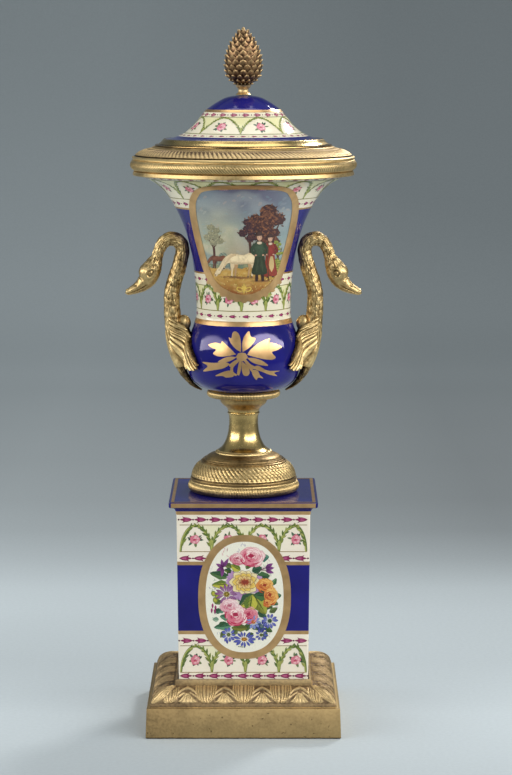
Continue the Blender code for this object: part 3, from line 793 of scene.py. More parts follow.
def pedestal_half(z):
    """Half the pedestal's width at a height on its shaft."""
    (low_half, low_z), (high_half, high_z) = PEDESTAL_FOOT, PEDESTAL_TOP
    return low_half + (high_half - low_half) * (z - low_z) / (high_z - low_z)


def rounded_ring(half, z, steps=5, along=16):
    """A square ring with small round corners, anticlockwise from +X."""
    radius = min(1.0, half)
    flat = np.linspace(radius - half, half - radius, along + 1)[:-1]
    side = np.stack([np.full(along, half), flat], 1)
    angles = np.linspace(0, pi / 2, steps + 1)[:-1]
    corner = np.stack([np.cos(angles), np.sin(angles)], 1) * radius + (half - radius)
    x, y = np.vstack([side, corner]).T
    turns = [(cos(quarter * pi / 2), sin(quarter * pi / 2)) for quarter in range(4)]
    ring = np.vstack([np.stack([x * c - y * s, x * s + y * c], 1) for c, s in turns])
    return np.hstack([ring, np.full((len(ring), 1), z)])


def make_pedestal():
    """The square porcelain shaft with its necking, cove, fascia and slab."""
    skin = Skin()
    shaft = [33.8, *PEDESTAL_BANDS, 152.5]
    glazes = WHITE_ZONE, GOLD_ZONE, COBALT_ZONE, GOLD_ZONE, WHITE_ZONE
    runs = [([(pedestal_half(z), z) for z in span], slot) for *span, slot in zip(shaft, shaft[1:], glazes)]
    runs += [
        ([(46.0, 152.5), (46.35, 152.8), (46.45, 154.7), (46.6, 155.0)], GOLD_ZONE),
        (curve([(46.6, 155.0), (47.2, 156.3), (48.6, 157.4), (50.4, 157.9)], 4), COBALT_ZONE),
        ([(50.4, 157.9), (50.8, 158.1), (51.05, 158.5)], SLAB_ZONE),
        ([(51.05, 158.5), (51.1, 161.0), (50.95, 161.5), (50.6, 161.7)], SLAB_ZONE),
        ([(50.6, 161.7), (48.9, 161.7), (46, 161.7), (1.2, 161.7)], SLAB_ZONE),
        ([(1.2, 156.7), (41.0, 156.7), (39.8, 33.8), (44.8, 33.8)], WHITE_ZONE),
    ]
    for outline, slot in runs:
        rings = [rounded_ring(half * PEDESTAL_GROWN, z) for half, z in outline]
        skin.sheet(rings, 1.0, slot, around=True)
    glazes = [WHITE_SHAFT, COBALT, GILDING, COBALT_SLAB]
    return skin.piece("pedestal_porcelain", glazes, ["pedestal"])


# ---------------------------------------------------------------- finial


CONE_LINE = curve(
    [
        (2.2, 444.4), (5.6, 446.6), (9.2, 449.3), (11.4, 452.8), (12.1, 457.5), (11.9, 462.5),
        (10.9, 467.5), (9.2, 471.8), (7.0, 476.0), (4.6, 479.6), (2.4, 482.2), (1.0, 483.4),
    ],
    6,
)
CONE_LENGTH = lengths(CONE_LINE)
CONE_NORMAL = outward(CONE_LINE)


def cone_at(length):
    """Radius, height and normal of the core at a length along it."""
    length = np.clip(length, 0, CONE_LENGTH[-1])
    values = [CONE_LINE[:, 0], CONE_LINE[:, 1], CONE_NORMAL[:, 0], CONE_NORMAL[:, 1]]
    return [np.interp(length, CONE_LENGTH, value) for value in values]


def cone_scale(skin, start, tall, wide, turn):
    """One pointed scale of the pinecone, its free tip standing off the core."""
    b = np.linspace(0, 1, 9)[:, None]
    a = np.linspace(-1, 1, 9)[None, :]
    half = wide * np.clip(1 - b**2.8, 0.02, 1) ** 0.8
    r, z, nr, nz = cone_at(start + tall * b + 0 * a)
    phi = turn + a * half / np.maximum(r, 1.4)
    keel = 0.30 * np.clip(1 - np.abs(a) * 1.3, 0, 1)
    lift = 0.1 + (0.10 + 1.35 * b**1.7) * (1 - 0.45 * a**2) + keel * b
    # Painted shade and highlight: dark at the scale's root under the row above, brightest at its tip; its
    # underside is a dark sheet of painted shade.
    shade = 0.08 + 0.90 * b**1.7 * (1 - 0.35 * a**2)
    for height, tone, order in ((lift, shade, 1), (lift - 0.6, 0.1 + 0 * shade, -1)):
        far = r + height * nr
        points = np.stack([far * np.cos(phi), far * np.sin(phi), z + height * nz], -1)
        skin.sheet(points[:, ::order], tone[:, ::order])


def make_finial():
    """A pinecone of pointed scales in staggered rows, on a small spool."""
    skin = Skin()
    top = mm_box("finial")[1][2]
    spool = [
        (0.01, 438.3), (5.0, 438.3), (4.9, 438.8), (3.9, 439.8), (3.4, 441.2), (3.7, 442.5),
        (4.8, 443.7), (5.4, 444.8),
    ]
    # Painted shade: the core that shows between the scales is nearly black.
    for outline, tone in ((curve(spool, 4), 0.85), (CONE_LINE - (0.3, 0), 0.05)):
        skin.sheet(turned_rows(outline, 48), tone, around=True)
    rows = 13
    for row in range(rows):
        start = CONE_LENGTH[-1] * (row / rows) ** 0.93 * 0.95
        r = float(cone_at(start + 2)[0])
        count = 14 if row < 8 else 11 if row < 11 else 8
        for k in range(count):
            turn = TURN * (k + 0.5 * (row % 2)) / count
            cone_scale(skin, start, 4.8 - 0.12 * row, 1.10 * pi * r / count, turn)
    tip = curve([(1.6, 482.0), (1.3, 483.3), (0.7, 484.3), (0.01, top)], 3)
    skin.sheet(turned_rows(tip, 48), 0.8, around=True)
    return skin.piece("pinecone", [BRONZE_DARK], ["finial"], sharp=50)


# ---------------------------------------------------------------- handles

# The swan's neck: distance from the axis, height, half thickness, half width across.
SWAN_LINE = [
    (29.4, 233.0, 0.6, 1.3), (34.8, 236.5, 1.3, 3.8), (39.4, 241.4, 2.1, 5.6), (42.8, 247.2, 3.0, 7.0),
    (45.4, 254.4, 4.0, 7.4), (47.6, 263.0, 4.8, 7.0), (48.6, 272.0, 5.6, 6.3), (49.2, 281.0, 5.9, 5.9),
    (49.9, 292.0, 5.6, 5.6), (49.9, 301.0, 5.4, 5.4), (48.1, 309.4, 5.3, 5.3), (45.6, 317.0, 5.1, 5.1),
    (43.5, 324.6, 4.9, 4.9), (42.4, 331.8, 4.8, 4.8), (45.0, 337.2, 4.9, 4.9), (50.2, 339.0, 4.9, 4.9),
    (55.2, 336.8, 4.5, 4.5), (58.4, 331.6, 3.9, 4.0), (60.2, 326.2, 4.1, 4.2), (62.3, 321.4, 5.8, 5.4),
    (64.9, 316.0, 7.2, 6.3), (67.2, 310.9, 6.5, 5.8), (70.4, 307.1, 5.1, 4.9), (74.2, 304.6, 3.9, 4.1),
    (78.1, 302.7, 2.9, 3.6), (81.0, 301.4, 1.9, 2.6), (82.4, 300.9, 0.3, 0.5),
]
# Places along the neck are counted in points of that line.
NECK_FROM, NECK_TO = 6.0, 19.5
EYE_AT = (64.6, 315.4)


def feathers(length, theta, seed, rows, count):
    """Irregular chased flecks, longer than wide, in staggered rows along the neck."""
    draws = np.random.default_rng(seed).random((200, count, 3))
    v = length / rows + 0.35 * np.sin(theta * 2 + seed)
    row = np.floor(v).astype(int)
    u = theta / TURN * count + 0.5 * (row % 2)
    column = np.floor(u).astype(int) % count
    shift = draws[row % 200, column]
    across = (fraction(u) - 0.5 + 0.5 * (shift[..., 0] - 0.5)) / 0.36
    along = (fraction(v) - 0.5 + 0.3 * (shift[..., 1] - 0.5)) / 0.50
    bend = across + 1.1 * along * (shift[..., 2] - 0.5)
    return np.clip(1 - bend**2 - along**2, 0, 1) ** 0.7 * (0.35 + 0.65 * shift[..., 2])


def head_details(t, c, from_eye):
    """Shapes on the head, each with how far it rises and what it adds to the tone."""
    x, z = from_eye
    eye = np.hypot((0.55 * x - 0.84 * z) / 1.5, 0.84 * x + 0.55 * z)
    on_bill = ease(t, 21.2, 22.2)
    crown = bump((t - 20.2) / 1.0) * ease(c, 0.1, -0.6)
    notch = bump((t - 21.35) / 0.35) * ease(c, 0.0, -0.6)
    socket = bump((eye - 1.4) / 0.8)
    lid = bump((eye - 2.4) / 0.8) * ease(c, 0.5, -0.2)
    mouth = bump((c - 0.36) / 0.16) * on_bill * ease(t, 25.6, 25.0)
    nail = bump((t - 25.0) / 0.6) * ease(c, 0.2, -0.5)
    nostril = bump(np.hypot((t - 22.9) / 0.35, (c + 0.45) / 0.25))
    return (
        (crown, 0.6, 0.0), (notch, -0.5, -0.2), (socket, -0.45, -0.45), (lid, 0.4, 0.2),
        (mouth, -0.6, -0.6), (nail, 0.5, 0.3), (nostril, -0.5, -0.4),
    )


def swan_neck(skin, side, seed):
    """Neck, head, bill and tail as one loft, with chased feathers on the neck."""
    steps = 16
    line = curve(SWAN_LINE, steps)
    normal = outward(line)
    t = (np.arange(len(line)) / steps)[:, None]
    theta = (np.arange(96) * TURN / 96)[None, :]
    c, s = np.cos(theta), np.sin(theta)
    far, around = lengths(line[:, :2])[:, None] + 0 * theta, theta + 0 * t
    small = 0.8 * feathers(far, around, seed + 5, 3.2, 26)
    fleck = np.maximum(feathers(far, around, seed, 4.8, 21), small)
    mottle = 0.5 * clouds(far / 1.1, around * 5.5, seed) + 0.5 * clouds(far / 4.0, around * 1.9, seed + 2)
    on_neck = ease(t, NECK_FROM - 0.4, NECK_FROM + 0.8) * ease(t, NECK_TO + 0.8, NECK_TO - 0.4)
    on_neck = np.maximum(on_neck, ease(t, 4.4, 3.4) * ease(t, 0.2, 1.0))
    leafy = ease(t, 6.8, 5.8) * ease(t, 3.2, 4.2)
    grooves = np.cos(theta * 7 + 1.6 * t) ** 2
    rise = (0.48 * (fleck - 0.4) + 0.24 * (mottle - 0.5)) * on_neck + 1.1 * (grooves - 0.5) * leafy
    tone = 0.74 + (0.80 * fleck - 0.42 + 0.6 * (mottle - 0.5)) * on_neck + (0.9 * grooves - 0.50) * leafy
    from_eye = [line[:, k, None] + normal[:, k, None] * line[:, 2:3] * c - EYE_AT[k] for k in range(2)]
    for shape, height, shade in head_details(t, c, from_eye):
        rise = rise + height * shape
        tone = tone + shade * shape
    # Painted shade: the tail's low end, under the leaf near the bulb, is darkened.
    tone = tone + 0.25 * (mottle - 0.5) - 0.42 * ease(t, 4.2, 2.4)
    thick = line[:, 2:3] * np.sign(c) * np.abs(c) ** 0.92 + rise * c
    wide = line[:, 3:4] * s + rise * s
    x, z = [line[:, k, None] + normal[:, k, None] * thick for k in range(2)]
    points = np.stack([side * x, side * wide, z], -1)
    skin.sheet(points, np.clip(tone, 0.02, 1), around=True)
    for end, order in ((points[0], -1), (points[-1], 1)):
        cap = np.stack([end, np.repeat(end.mean(0)[None], len(end), 0)])
        skin.sheet(cap[::order], 0.4, around=True)


def ball(skin, centre, radii, tone=0.9, rings=12, columns=20, ribs=0.0):
    """A small ellipsoid, plain or with ribs from pole to pole."""
    polar = np.linspace(0.02, pi - 0.02, rings)[::-1][:, None]
    phi = np.arange(columns)[None, :] * TURN / columns
    parts = [np.sin(polar) * np.cos(phi), np.sin(polar) * np.sin(phi), np.cos(polar) + 0 * phi]
    groove = ribs * (rib(phi * 8 / TURN + 0.2 * polar) - 1) * np.sin(polar)
    points = np.stack([centre[k] + (radii[k] + groove) * parts[k] for k in range(3)], -1)
    skin.sheet(points, np.clip(tone + groove, 0, 1), around=True)


def bulb_radius(z):
    """The radius of the vase's glaze at a height."""
    return np.interp(z, VASE_PROFILE.line[:, 1], VASE_PROFILE.line[:, 0])


# The acanthus lobe's edge and root on the bulb: length round it from the handle, and height.
LOBE_EDGE = [
    (2.2, 288.5), (6.4, 282.8), (9.8, 277.0), (12.8, 270.6), (16.8, 265.8), (21.2, 262.0), (25.0, 258.4),
    (27.6, 254.8), (27.0, 251.2), (21.5, 249.8), (14.5, 250.0), (6.5, 250.8), (3.0, 249.5),
]
LOBE_ROOT = [(1.0, 288.0), (0.8, 283.0), (0.6, 277.5), (0.3, 272.0)]
BULB_RADIUS = 39.6


def resampled(points, share):
    """A curve through the points, read at shares of its run from 0 to 1."""
    line = curve(points, 12)
    places = np.linspace(0, 1, len(line))
    return np.stack([np.interp(share, places, line[:, k]) for k in range(2)], 1)


def side_lobe(skin, side, towards):
    """One lobe of the acanthus leaf: ribs fan out over the bulb to a beaded edge."""
    g = np.linspace(0, 1, 145)
    v = np.linspace(0, 1, 25)[:, None]
    root, edge = resampled(LOBE_ROOT, g), resampled(LOBE_EDGE, g)
    beads = rib(g * 16.0)
    flat = root + (edge - root) * (v * (0.91 + 0.12 * beads))[..., None]
    across, height = flat[..., 0], flat[..., 1]
    line = curve([point[:3] for point in SWAN_LINE[:10]], 8)
    stem = np.interp(height, line[:, 1], line[:, 0] + 0.25 * line[:, 2])
    ground = bulb_radius(height) + 0.45
    veins = np.clip(rib(g * 11.0 + 0.5) * 1.5 - 0.4, 0, 1)
    shape = 0.8 + 2.0 * np.sin(pi * np.clip(v, 0, 1)) ** 0.7 + 0.9 * v**4
    deep = 1.2 + 0.5 * clouds(g * 60, v * 9, 8)
    crown = ground + shape + deep * (veins - 0.5) * ease(v, 0.05, 0.25)
    crown = crown + 1.6 * (beads - 0.4) * ease(v, 0.72, 0.95)
    crown = crown + (stem - ground) * ease(across, 12.0, 4.5) * (0.94 - 0.05 * ease(height, 276, 284))
    back = np.maximum(crown - 1.3, ground)
    mottle = clouds(g * 48 + 0 * v, v * 14 + 0 * g, 3) - 0.5
    tone = 0.16 + 0.72 * veins * (1 - ease(v, 0.7, 0.95)) + 0.85 * beads * ease(v, 0.7, 0.95)
    tone = tone + (0.5 + 0.5 * ease(height, 268, 280)) * mottle + 0.10 * ease(height, 270, 282)
    angle = towards * across / BULB_RADIUS
    around = np.stack([side * np.cos(angle), side * np.sin(angle), 0 * angle], -1)
    lift = height[..., None] * (0.0, 0.0, 1.0)
    front, rear = [around * radius[..., None] + lift for radius in (crown, back)]
    skin.shell(front, rear, np.clip(tone, 0, 1), around)


def make_handle(name, side, seed):
    """A swan's neck rising from an acanthus leaf that clasps the bulb."""
    skin = Skin()
    swan_neck(skin, side, seed)
    side_lobe(skin, side, -1)
    side_lobe(skin, side, 1)
    ball(skin, (side * 41.9, 0, 280.0), (5.2, 3.6, 5.9), 0.85, 14, 40, 0.4)
    for across in (-1, 1):
        ball(skin, (side * EYE_AT[0], across * 5.6, EYE_AT[1]), (1.0, 0.8, 0.9), 0.45)
    return skin.piece(name, [BRONZE], [name.replace("_casting", "")], sharp=60)


# ---------------------------------------------------------------- painting

# How high the first layer of paint stands off the glaze, and each one off the one below.
LIFT, LAYER = 0.05, 0.022
ENAMELLED, GILT = range(2)


def tint(red, green, blue):
    """A colour given as display values from 0 to 255, turned into what a shader reads."""
    value = np.array([red, green, blue]) / 255
    return np.where(value > 0.04045, ((value + 0.055) / 1.055) ** 2.4, value / 12.92)


WHITE_GROUND = tint(236, 230, 204)
YELLOW_GROUND = tint(234, 228, 168)
PALE_GROUND = tint(238, 232, 192)
GILT_TONE = tint(200, 150, 100)
MAGENTA = tint(136, 36, 82)
MAGENTA_LIGHT = tint(182, 88, 128)
GREENS = [tint(98, 118, 54), tint(128, 140, 62), tint(176, 178, 96), tint(108, 126, 62)]
VIOLET, VIOLET_DEEP = tint(136, 72, 136), tint(98, 42, 98)
BLUE, BLUE_PALE = tint(74, 78, 168), tint(142, 148, 210)
ORANGE, ORANGE_DEEP = tint(222, 132, 58), tint(178, 70, 40)
YELLOW, YELLOW_PALE = tint(226, 186, 78), tint(240, 226, 176)
OLIVE = tint(120, 124, 44)
LEAF_DARK, LEAF_MIDDLE, LEAF_LIGHT = tint(48, 82, 56), tint(98, 120, 42), tint(192, 186, 72)
PINK_PALE, PINK, PINK_DEEP = tint(244, 200, 200), tint(226, 126, 144), tint(190, 48, 84)
PINK_WHITE = tint(250, 222, 216)
LINE_BROWN = tint(150, 122, 78)


def beyond(start, angle, far, aside=0.0):
    """Places that far from a start along an angle in degrees, and that far to its right."""
    c, s = cos(radians(angle)), sin(radians(angle))
    return start[0] + far * c + aside * s, start[1] + far * s - aside * c


def on_oval(middle, radii, angle):
    """The place on an oval at an angle in radians."""
    return middle[0] + radii[0] * cos(angle), middle[1] + radii[1] * sin(angle)


def blend(share, first, second):
    """A mix of two colours, at a share for each place."""
    share = np.asarray(share)[..., None]
    return first * (1 - share) + second * share


class Canvas:
    """Thin paint laid on a glaze. It takes places as millimetres across and up."""

    def __init__(self, skin, place):
        self.skin = skin
        self.place = place

    def sheet(self, u, v, tone, layer, slot=ENAMELLED, around=False):
        """Lays paint over a grid of places."""
        u, v = np.broadcast_arrays(u, v)
        points, normals = self.place(u, v, LIFT + layer * LAYER)
        tone = np.broadcast_to(tone, u.shape + (3,))
        self.skin.sheet(points, tone, slot, around, normals=normals)

    def bar(self, across, up, tone, layer, slot=ENAMELLED, columns=40):
        """A straight band between two widths and two heights."""
        u = np.linspace(*across, columns + 1)[None, :]
        self.sheet(u, np.array(up, float)[:, None], tone, layer, slot)

    def blob(self, middle, radii, tilt, inner, outer, layer, wave=(0, 0, 0), rings=2, slot=ENAMELLED):
        """A round patch. Its rim may be wavy: a depth, a count and a turn."""
        angle = np.linspace(0, TURN, 15)[None, :-1]
        depth, count, turn = wave
        share = np.linspace(1, 0, rings + 1)[:, None]
        size = share * (1 + depth * np.cos(count * angle + turn))
        a, b = radii[0] * size * np.cos(angle), radii[1] * size * np.sin(angle)
        tone = blend(share**1.5 + 0 * angle, inner, outer)
        self.sheet(*beyond(middle, tilt, a, -b), tone, layer, slot, around=True)

    def petal(self, root, length, width, angle, inner, outer, layer, blunt=0.8, slot=ENAMELLED, rows=5):
        """A petal or leaf from its root along an angle, in degrees from +across towards +up."""
        t = np.linspace(0, 1, rows + 1)[:, None]
        s = np.linspace(-1, 1, 4)[None, :]
        half = width / 2 * np.sin(pi * np.clip(t, 0.002, 0.985) ** blunt) ** 0.75
        self.sheet(*beyond(root, angle, t * length, s * half), blend(t + 0 * s, inner, outer), layer, slot)

    def leaf(self, root, length, width, angle, light, dark, layer):
        """A leaf with a light and a dark side, a dark edge, a midrib and side veins."""
        t = np.linspace(0, 1, 8)[:, None]
        s = np.linspace(-1, 1, 5)[None, :]
        half = width / 2 * np.sin(pi * np.clip(t, 0.002, 0.985) ** 0.85) ** 0.8
        half = half * (1 + 0.12 * np.cos(t * 30))
        tone = blend(ease(s, -0.3, 0.5) + 0 * t, light, dark)
        edge = beyond(root, angle, t * (length + 0.2), s * (half + 0.16))
        self.sheet(*edge, dark * 0.55, layer - 0.1)
        self.sheet(*beyond(root, angle, t * length, s * half), tone, layer)
        for side, vein in ((-1, light * 1.15), (1, dark * 0.7)):
            for far in (0.25, 0.42, 0.59):
                ends = (far, 0), (far + 0.10, 0.20), (far + 0.22, 0.33)
                line = [beyond(root, angle, a * length, side * b * width) for a, b in ends]
                self.stroke(line, 0.035 * width + 0.08, np.minimum(vein, 1), layer + 0.4)
        midrib = [root, beyond(root, angle, 0.85 * length)]
        self.stroke(midrib, 0.09 * width + 0.12, 0.6 * dark, layer + 0.5)

    def patch(self, outline, inner, outer, layer, slot=ENAMELLED, middle=None, steps=3, dabbed=0.0):
        """A filled outline that can be seen whole from its middle, plain or as if dabbed on."""
        line = curve([*outline, outline[0]], steps)[:-1]
        ahead = np.roll(line, -1, axis=0)
        if np.sum(line[:, 0] * ahead[:, 1] - line[:, 1] * ahead[:, 0]) < 0:
            line = line[::-1]
        middle = line.mean(0) if middle is None else np.array(middle)
        rows = int(np.clip(np.ptp(line, axis=0).max() / 2.0, 3, 12))
        share = np.linspace(1, 0.02, rows)[:, None, None]
        spots = middle + share * (line[None] - middle)
        tone = inner * (1 - share) + outer * share + 0 * line[None, :, :1]
        if dabbed:
            brush = clouds(spots[..., 0] / 0.9, spots[..., 1] / 1.4, 17)[..., None] - 0.5
            tone = np.clip(tone * (1 + dabbed * brush), 0, 1)
        self.sheet(spots[..., 0], spots[..., 1], tone, layer, slot, around=True)

    def stroke(self, points, width, tone, layer, slot=ENAMELLED, taper=0.15, steps=3):
        """A brush stroke along a curve."""
        line = curve(points, steps) if len(points) > 2 else np.linspace(*points, steps + 1)
        aside = outward(line)
        share = np.linspace(0, 1, len(line))
        half = width / 2 * (taper + (1 - taper) * np.sin(pi * share) ** 0.6)
        s = np.linspace(-1, 1, 3)[None, :]
        u, v = [line[:, k, None] + s * (half * aside[:, k])[:, None] for k in range(2)]
        self.sheet(u, v, tone, layer, slot)


def turned_by(quarter, x, y, z, normal):
    """Points and normals turned by quarters about the axis. The normal is given as -Y and Z."""
    c, s = cos(quarter * pi / 2), sin(quarter * pi / 2)
    points = np.stack([x * c - y * s, x * s + y * c, z], -1)
    out, up = normal
    return points, np.broadcast_to((s * out, -c * out, up), points.shape)


def face_place(quarter):
    """Places on one side of the pedestal: across, and height above the floor."""

    def place(u, v, lift):
        y = -(pedestal_half(v) * PEDESTAL_GROWN + lift)
        return turned_by(quarter, u, y, v + 0 * u, (1.0, 0.0))

    return place


def slab_edge_place(quarter):
    """Places on one edge of the slab: across, and height above the floor."""

    def place(u, v, lift):
        return turned_by(quarter, u, 0 * v - SLAB_HALF - lift, v + 0 * u, (1.0, 0.0))

    return place


def slab_top_place(quarter):
    """Places on the slab's top: across, and inwards from its edge."""

    def place(u, v, lift):
        return turned_by(quarter, u, v - SLAB_HALF, SLAB_TOP + lift + 0 * v, (0.0, 1.0))

    return place


def round_axis(profile, length, phi, lift):
    """Points and normals on a turned piece, at lengths along its outline and angles."""
    r, z, out, up = profile.at(length)
    r = r + lift * out
    points = np.stack([r * np.cos(phi), r * np.sin(phi), z + lift * up], -1)
    return points, np.stack([out * np.cos(phi), out * np.sin(phi), up + 0 * phi], -1)


def turned_place(profile, r_zero, z_zero=None):
    """Places on a turned piece: across from the front at a radius, and up.

    Up is the height above the floor, or the length along the outline from z_zero.
    """

    def place(u, v, lift):
        length = profile.along(v) if z_zero is None else profile.along(z_zero) + v
        return round_axis(profile, length, u / r_zero - pi / 2, lift)

    return place


def front_place(profile):
    """Places on the front of a turned piece, as seen from straight ahead."""

    def place(u, v, lift):
        length = profile.along(v)
        share = (u + SHIELD_SHIFT) / profile.at(length)[0]
        return round_axis(profile, length, np.arcsin(np.clip(share, -0.999, 0.999)) - pi / 2, lift)

    return place


# A bud's outline: along it and across it, for a size of 1.
BUD = [
    (0.48, 0.0), (0.40, 0.06), (0.26, 0.14), (0.08, 0.19), (-0.08, 0.20), (-0.26, 0.28), (-0.16, 0.13),
    (-0.30, 0.07), (-0.40, 0.03), (-0.40, -0.03), (-0.30, -0.07), (-0.16, -0.13), (-0.26, -0.28),
    (-0.08, -0.20), (0.08, -0.19), (0.26, -0.14), (0.40, -0.06),
]


def buds(canvas, start, pitch, count, v, size, facing, tone=MAGENTA, gleam=MAGENTA_LIGHT):
    """A row of plump buds with barbs, a dot between each two."""
    dot_shift = -facing * 0.49 * pitch if size > 0.7 * pitch else pitch / 2
    for k in range(count):
        u = start + k * pitch
        outline = [(u + facing * size * a, v + 0.86 * size * b) for a, b in BUD]
        canvas.patch(outline, tone * 1.3, tone * 0.85, 1, middle=(u, v), steps=2)
        for side in (-1, 1):
            root = (u - facing * 0.10 * size, v + side * 0.05 * size)
            angle = 90 - facing * 90 + side * 4
            canvas.petal(root, 0.42 * size, 0.08 * size, angle, gleam, gleam, 2, rows=3)
        dot = (u + dot_shift, v)
        canvas.blob(dot, (0.07 * size, 0.06 * size), 0, tone * 0.4, tone * 0.4, 2, rings=1)


def small_rose(canvas, u, v, size, draw):
    """A small pink rose, lit from the right, with uneven sprigs of dark leaves round it."""
    turn = draw.uniform(0, 360)
    for k in range(7):
        angle = turn + 51 * k + draw.uniform(-22, 22)
        root = on_oval((u, v), (0.24 * size, 0.22 * size), radians(angle))
        green = (LEAF_DARK, tint(92, 112, 92), tint(112, 126, 82))[k % 3]
        length = size * draw.uniform(0.20, 0.40)
        canvas.petal(root, length, draw.uniform(0.12, 0.20) * size, angle, green, green, 2, rows=3)
        if k % 3 == 0:
            canvas.petal(root, 0.8 * length, 0.14 * size, angle + 38, green * 1.3, green, 2, rows=3)
    canvas.blob((u, v), (0.36 * size, 0.31 * size), turn, PINK, PINK * 0.85, 3, (0.10, 5, turn))
    for k in range(6):
        a = radians(20 + 60 * k + draw.uniform(-12, 12))
        middle = on_oval((u, v), (0.22 * size, 0.19 * size), a)
        pale = PINK_PALE if cos(a) > -0.4 else PINK * 0.95
        canvas.blob(middle, (0.15 * size, 0.10 * size), degrees(a) + 90, pale, PINK * 0.9, 4 + 0.2 * k)
    heart = (u - 0.04 * size, v)
    canvas.blob(heart, (0.15 * size, 0.13 * size), turn, PINK_DEEP * 0.8, PINK, 6, (0.2, 3, turn))
    fold = [(u - 0.12 * size, v + 0.05 * size), (u, v + 0.10 * size), (u + 0.12 * size, v + 0.03 * size)]
    canvas.stroke(fold, 0.06 * size, PINK_PALE, 7)


def arch_line(share, pitch, height):
    """Half an arch, from its foot up to its crown."""
    a = share * pi / 2
    return pitch / 2 * (1 - np.cos(a)) ** 0.85, height * np.sin(a) ** 0.92


def garland(canvas, foot, facing, pitch, height, leaf, draw, low=0.0, inward=False):
    """Half an arch of leaves on a broad olive band, from its foot to its crown."""
    line = [arch_line(t, pitch, height) for t in np.linspace(0, 1, 6)]
    line = [(foot + facing * a, low + b) for a, b in line]
    canvas.stroke(line, 0.40 * leaf, GREENS[0], 2, taper=0.7)
    lit = [(u - 0.1 * leaf, v - 0.08 * leaf) for u, v in line]
    canvas.stroke(lit, 0.20 * leaf, GREENS[2], 2.5, taper=0.7)
    steps = int(1.9 * (height + pitch / 2) / leaf)
    for k in range(steps):
        t = 0.05 + 0.90 * (k + 0.5) / steps
        a, b = arch_line(t, pitch, height)
        a2, b2 = arch_line(t + 0.02, pitch, height)
        heading = degrees(atan2(b2 - b, facing * (a2 - a)))
        sprout = (-1 if k % 2 else 1) * draw.uniform(20, 36)
        if inward and t < 0.6:
            sprout = -facing * abs(sprout)
        size = leaf * draw.uniform(0.75, 1.0) * (1.2 - 0.5 * t)
        green = GREENS[int(draw.integers(4))] * draw.uniform(0.85, 1.1)
        root = foot + facing * a, low + b
        level = 3 + 0.2 * (k % 3)
        canvas.petal(root, size, 0.36 * size, heading + sprout, green, green * 0.8, level, rows=3)


def garland_arches(canvas, feet, pitch, height, leaf, draw, rose, low=0.0, ground=YELLOW_GROUND):
    """Arches of green leaves that spring in pairs from pointed feet, a rose under each one."""
    out, up = arch_line(np.linspace(0.0, 1, 13), pitch, height)
    side = np.linspace(-1, 1, 7)[None, :]
    share = 0.25 * ((0.5 + 0.5 * np.abs(side)) * np.ones((len(up), 1)))
    for foot in feet:
        across = foot + side * out[:, None]
        canvas.sheet(across, low + up[:, None], blend(share, ground, WHITE_GROUND), 1)
        for facing in (-1, 1):
            garland(canvas, foot, facing, pitch, height, leaf, draw, low)
        root = (foot, low)
        canvas.petal(root, 0.42 * height, 0.62 * leaf, 90, GREENS[0], GREENS[2], 4, 1.4, rows=4)
        canvas.petal(root, 0.26 * height, 0.26 * leaf, 90, GREENS[2], GREENS[2], 4.5, 1.4, rows=3)
        small_rose(canvas, foot + pitch / 2, low + 0.46 * height, rose, draw)


# The rings of a full rose: reach, petals, their width, and how far they centre on the cup.
ROSE_RINGS = (0.50, 7, 0.47, 0.0), (0.37, 5, 0.42, 0.5), (0.25, 4, 0.30, 0.8)
LIT_FROM = radians(50)


def rose_petal(canvas, heart, length, width, angle, level, shade, colours):
    """One petal, with a dark edge behind it, a darker root and three fine folds."""
    deep, middle, pale = colours
    lip = pale * (1 - shade) + middle * shade
    fold = middle * (1 - 0.6 * shade) + deep * 0.6 * shade
    canvas.petal(heart, length + 0.14, width + 0.28, angle, deep * 0.8, (deep + middle) / 2, level, 1.9)
    canvas.petal(heart, length, width, angle, fold, lip, level + 0.06, 1.9)
    canvas.petal(heart, 0.76 * length, 0.74 * width, angle, deep, (fold + lip) / 2, level + 0.12, 1.5)
    for turn in (-14, -4, 8):
        ends = [beyond(heart, angle + turn, far * length) for far in (0.5, 0.7, 0.9)]
        canvas.stroke(ends, 0.02 * width + 0.1, fold * 0.9, level + 0.18)


def rose(canvas, u, v, wide, tall, tilt, layer, draw, colours=(PINK_DEEP, PINK, PINK_WHITE)):
    """A full rose: three rings of petals with deep folds and pale lips round a deep cup."""
    deep, middle, pale = colours
    cup = u - 0.03 * wide, v + 0.06 * tall
    size = (wide + tall) / 2
    canvas.blob((u, v), (0.38 * wide, 0.38 * tall), tilt, deep, deep * 0.9, layer, rings=3)
    for ring, (reach, count, spread, shift) in enumerate(ROSE_RINGS):
        heart = u + (cup[0] - u) * shift, v + (cup[1] - v) * shift
        for k in range(count):
            angle = 360 * (k + 0.45 * ring) / count + tilt + draw.uniform(-11, 11)
            a = radians(angle)
            length = hypot(wide * cos(a), tall * sin(a)) * reach * draw.uniform(0.92, 1.05)
            level = layer + 1 + 2 * ring + 0.28 * k
            shade = np.clip(0.45 - 0.55 * cos(a - LIT_FROM) + draw.uniform(-0.15, 0.15), 0, 1)
            rose_petal(canvas, heart, length, spread * size, angle, level, shade, colours)
    for k in range(14):
        a, far = radians(77 * k + tilt), (0.45, 0.37, 0.29, 0.21)[k % 4]
        tone = pale if cos(a - LIT_FROM) > -0.2 else deep
        bow = [on_oval((u, v), (far * wide, far * tall), a + turn) for turn in (-0.4, 0, 0.4)]
        canvas.stroke(bow, 0.06 * size, np.minimum(tone * 1.04, 1), layer + 7.2 + 0.02 * k)
    canvas.blob(cup, (0.15 * wide, 0.12 * tall), tilt, deep * 0.7, deep, layer + 7.5)
    for k in range(4):
        a = radians(90 * k + tilt)
        bow = [on_oval(cup, (0.14 * wide, 0.12 * tall), a + turn) for turn in (0, 0.7, 1.4)]
        canvas.stroke(bow, 0.045 * size, pale if k % 2 else (pale + middle) / 2, layer + 8 + 0.1 * k)


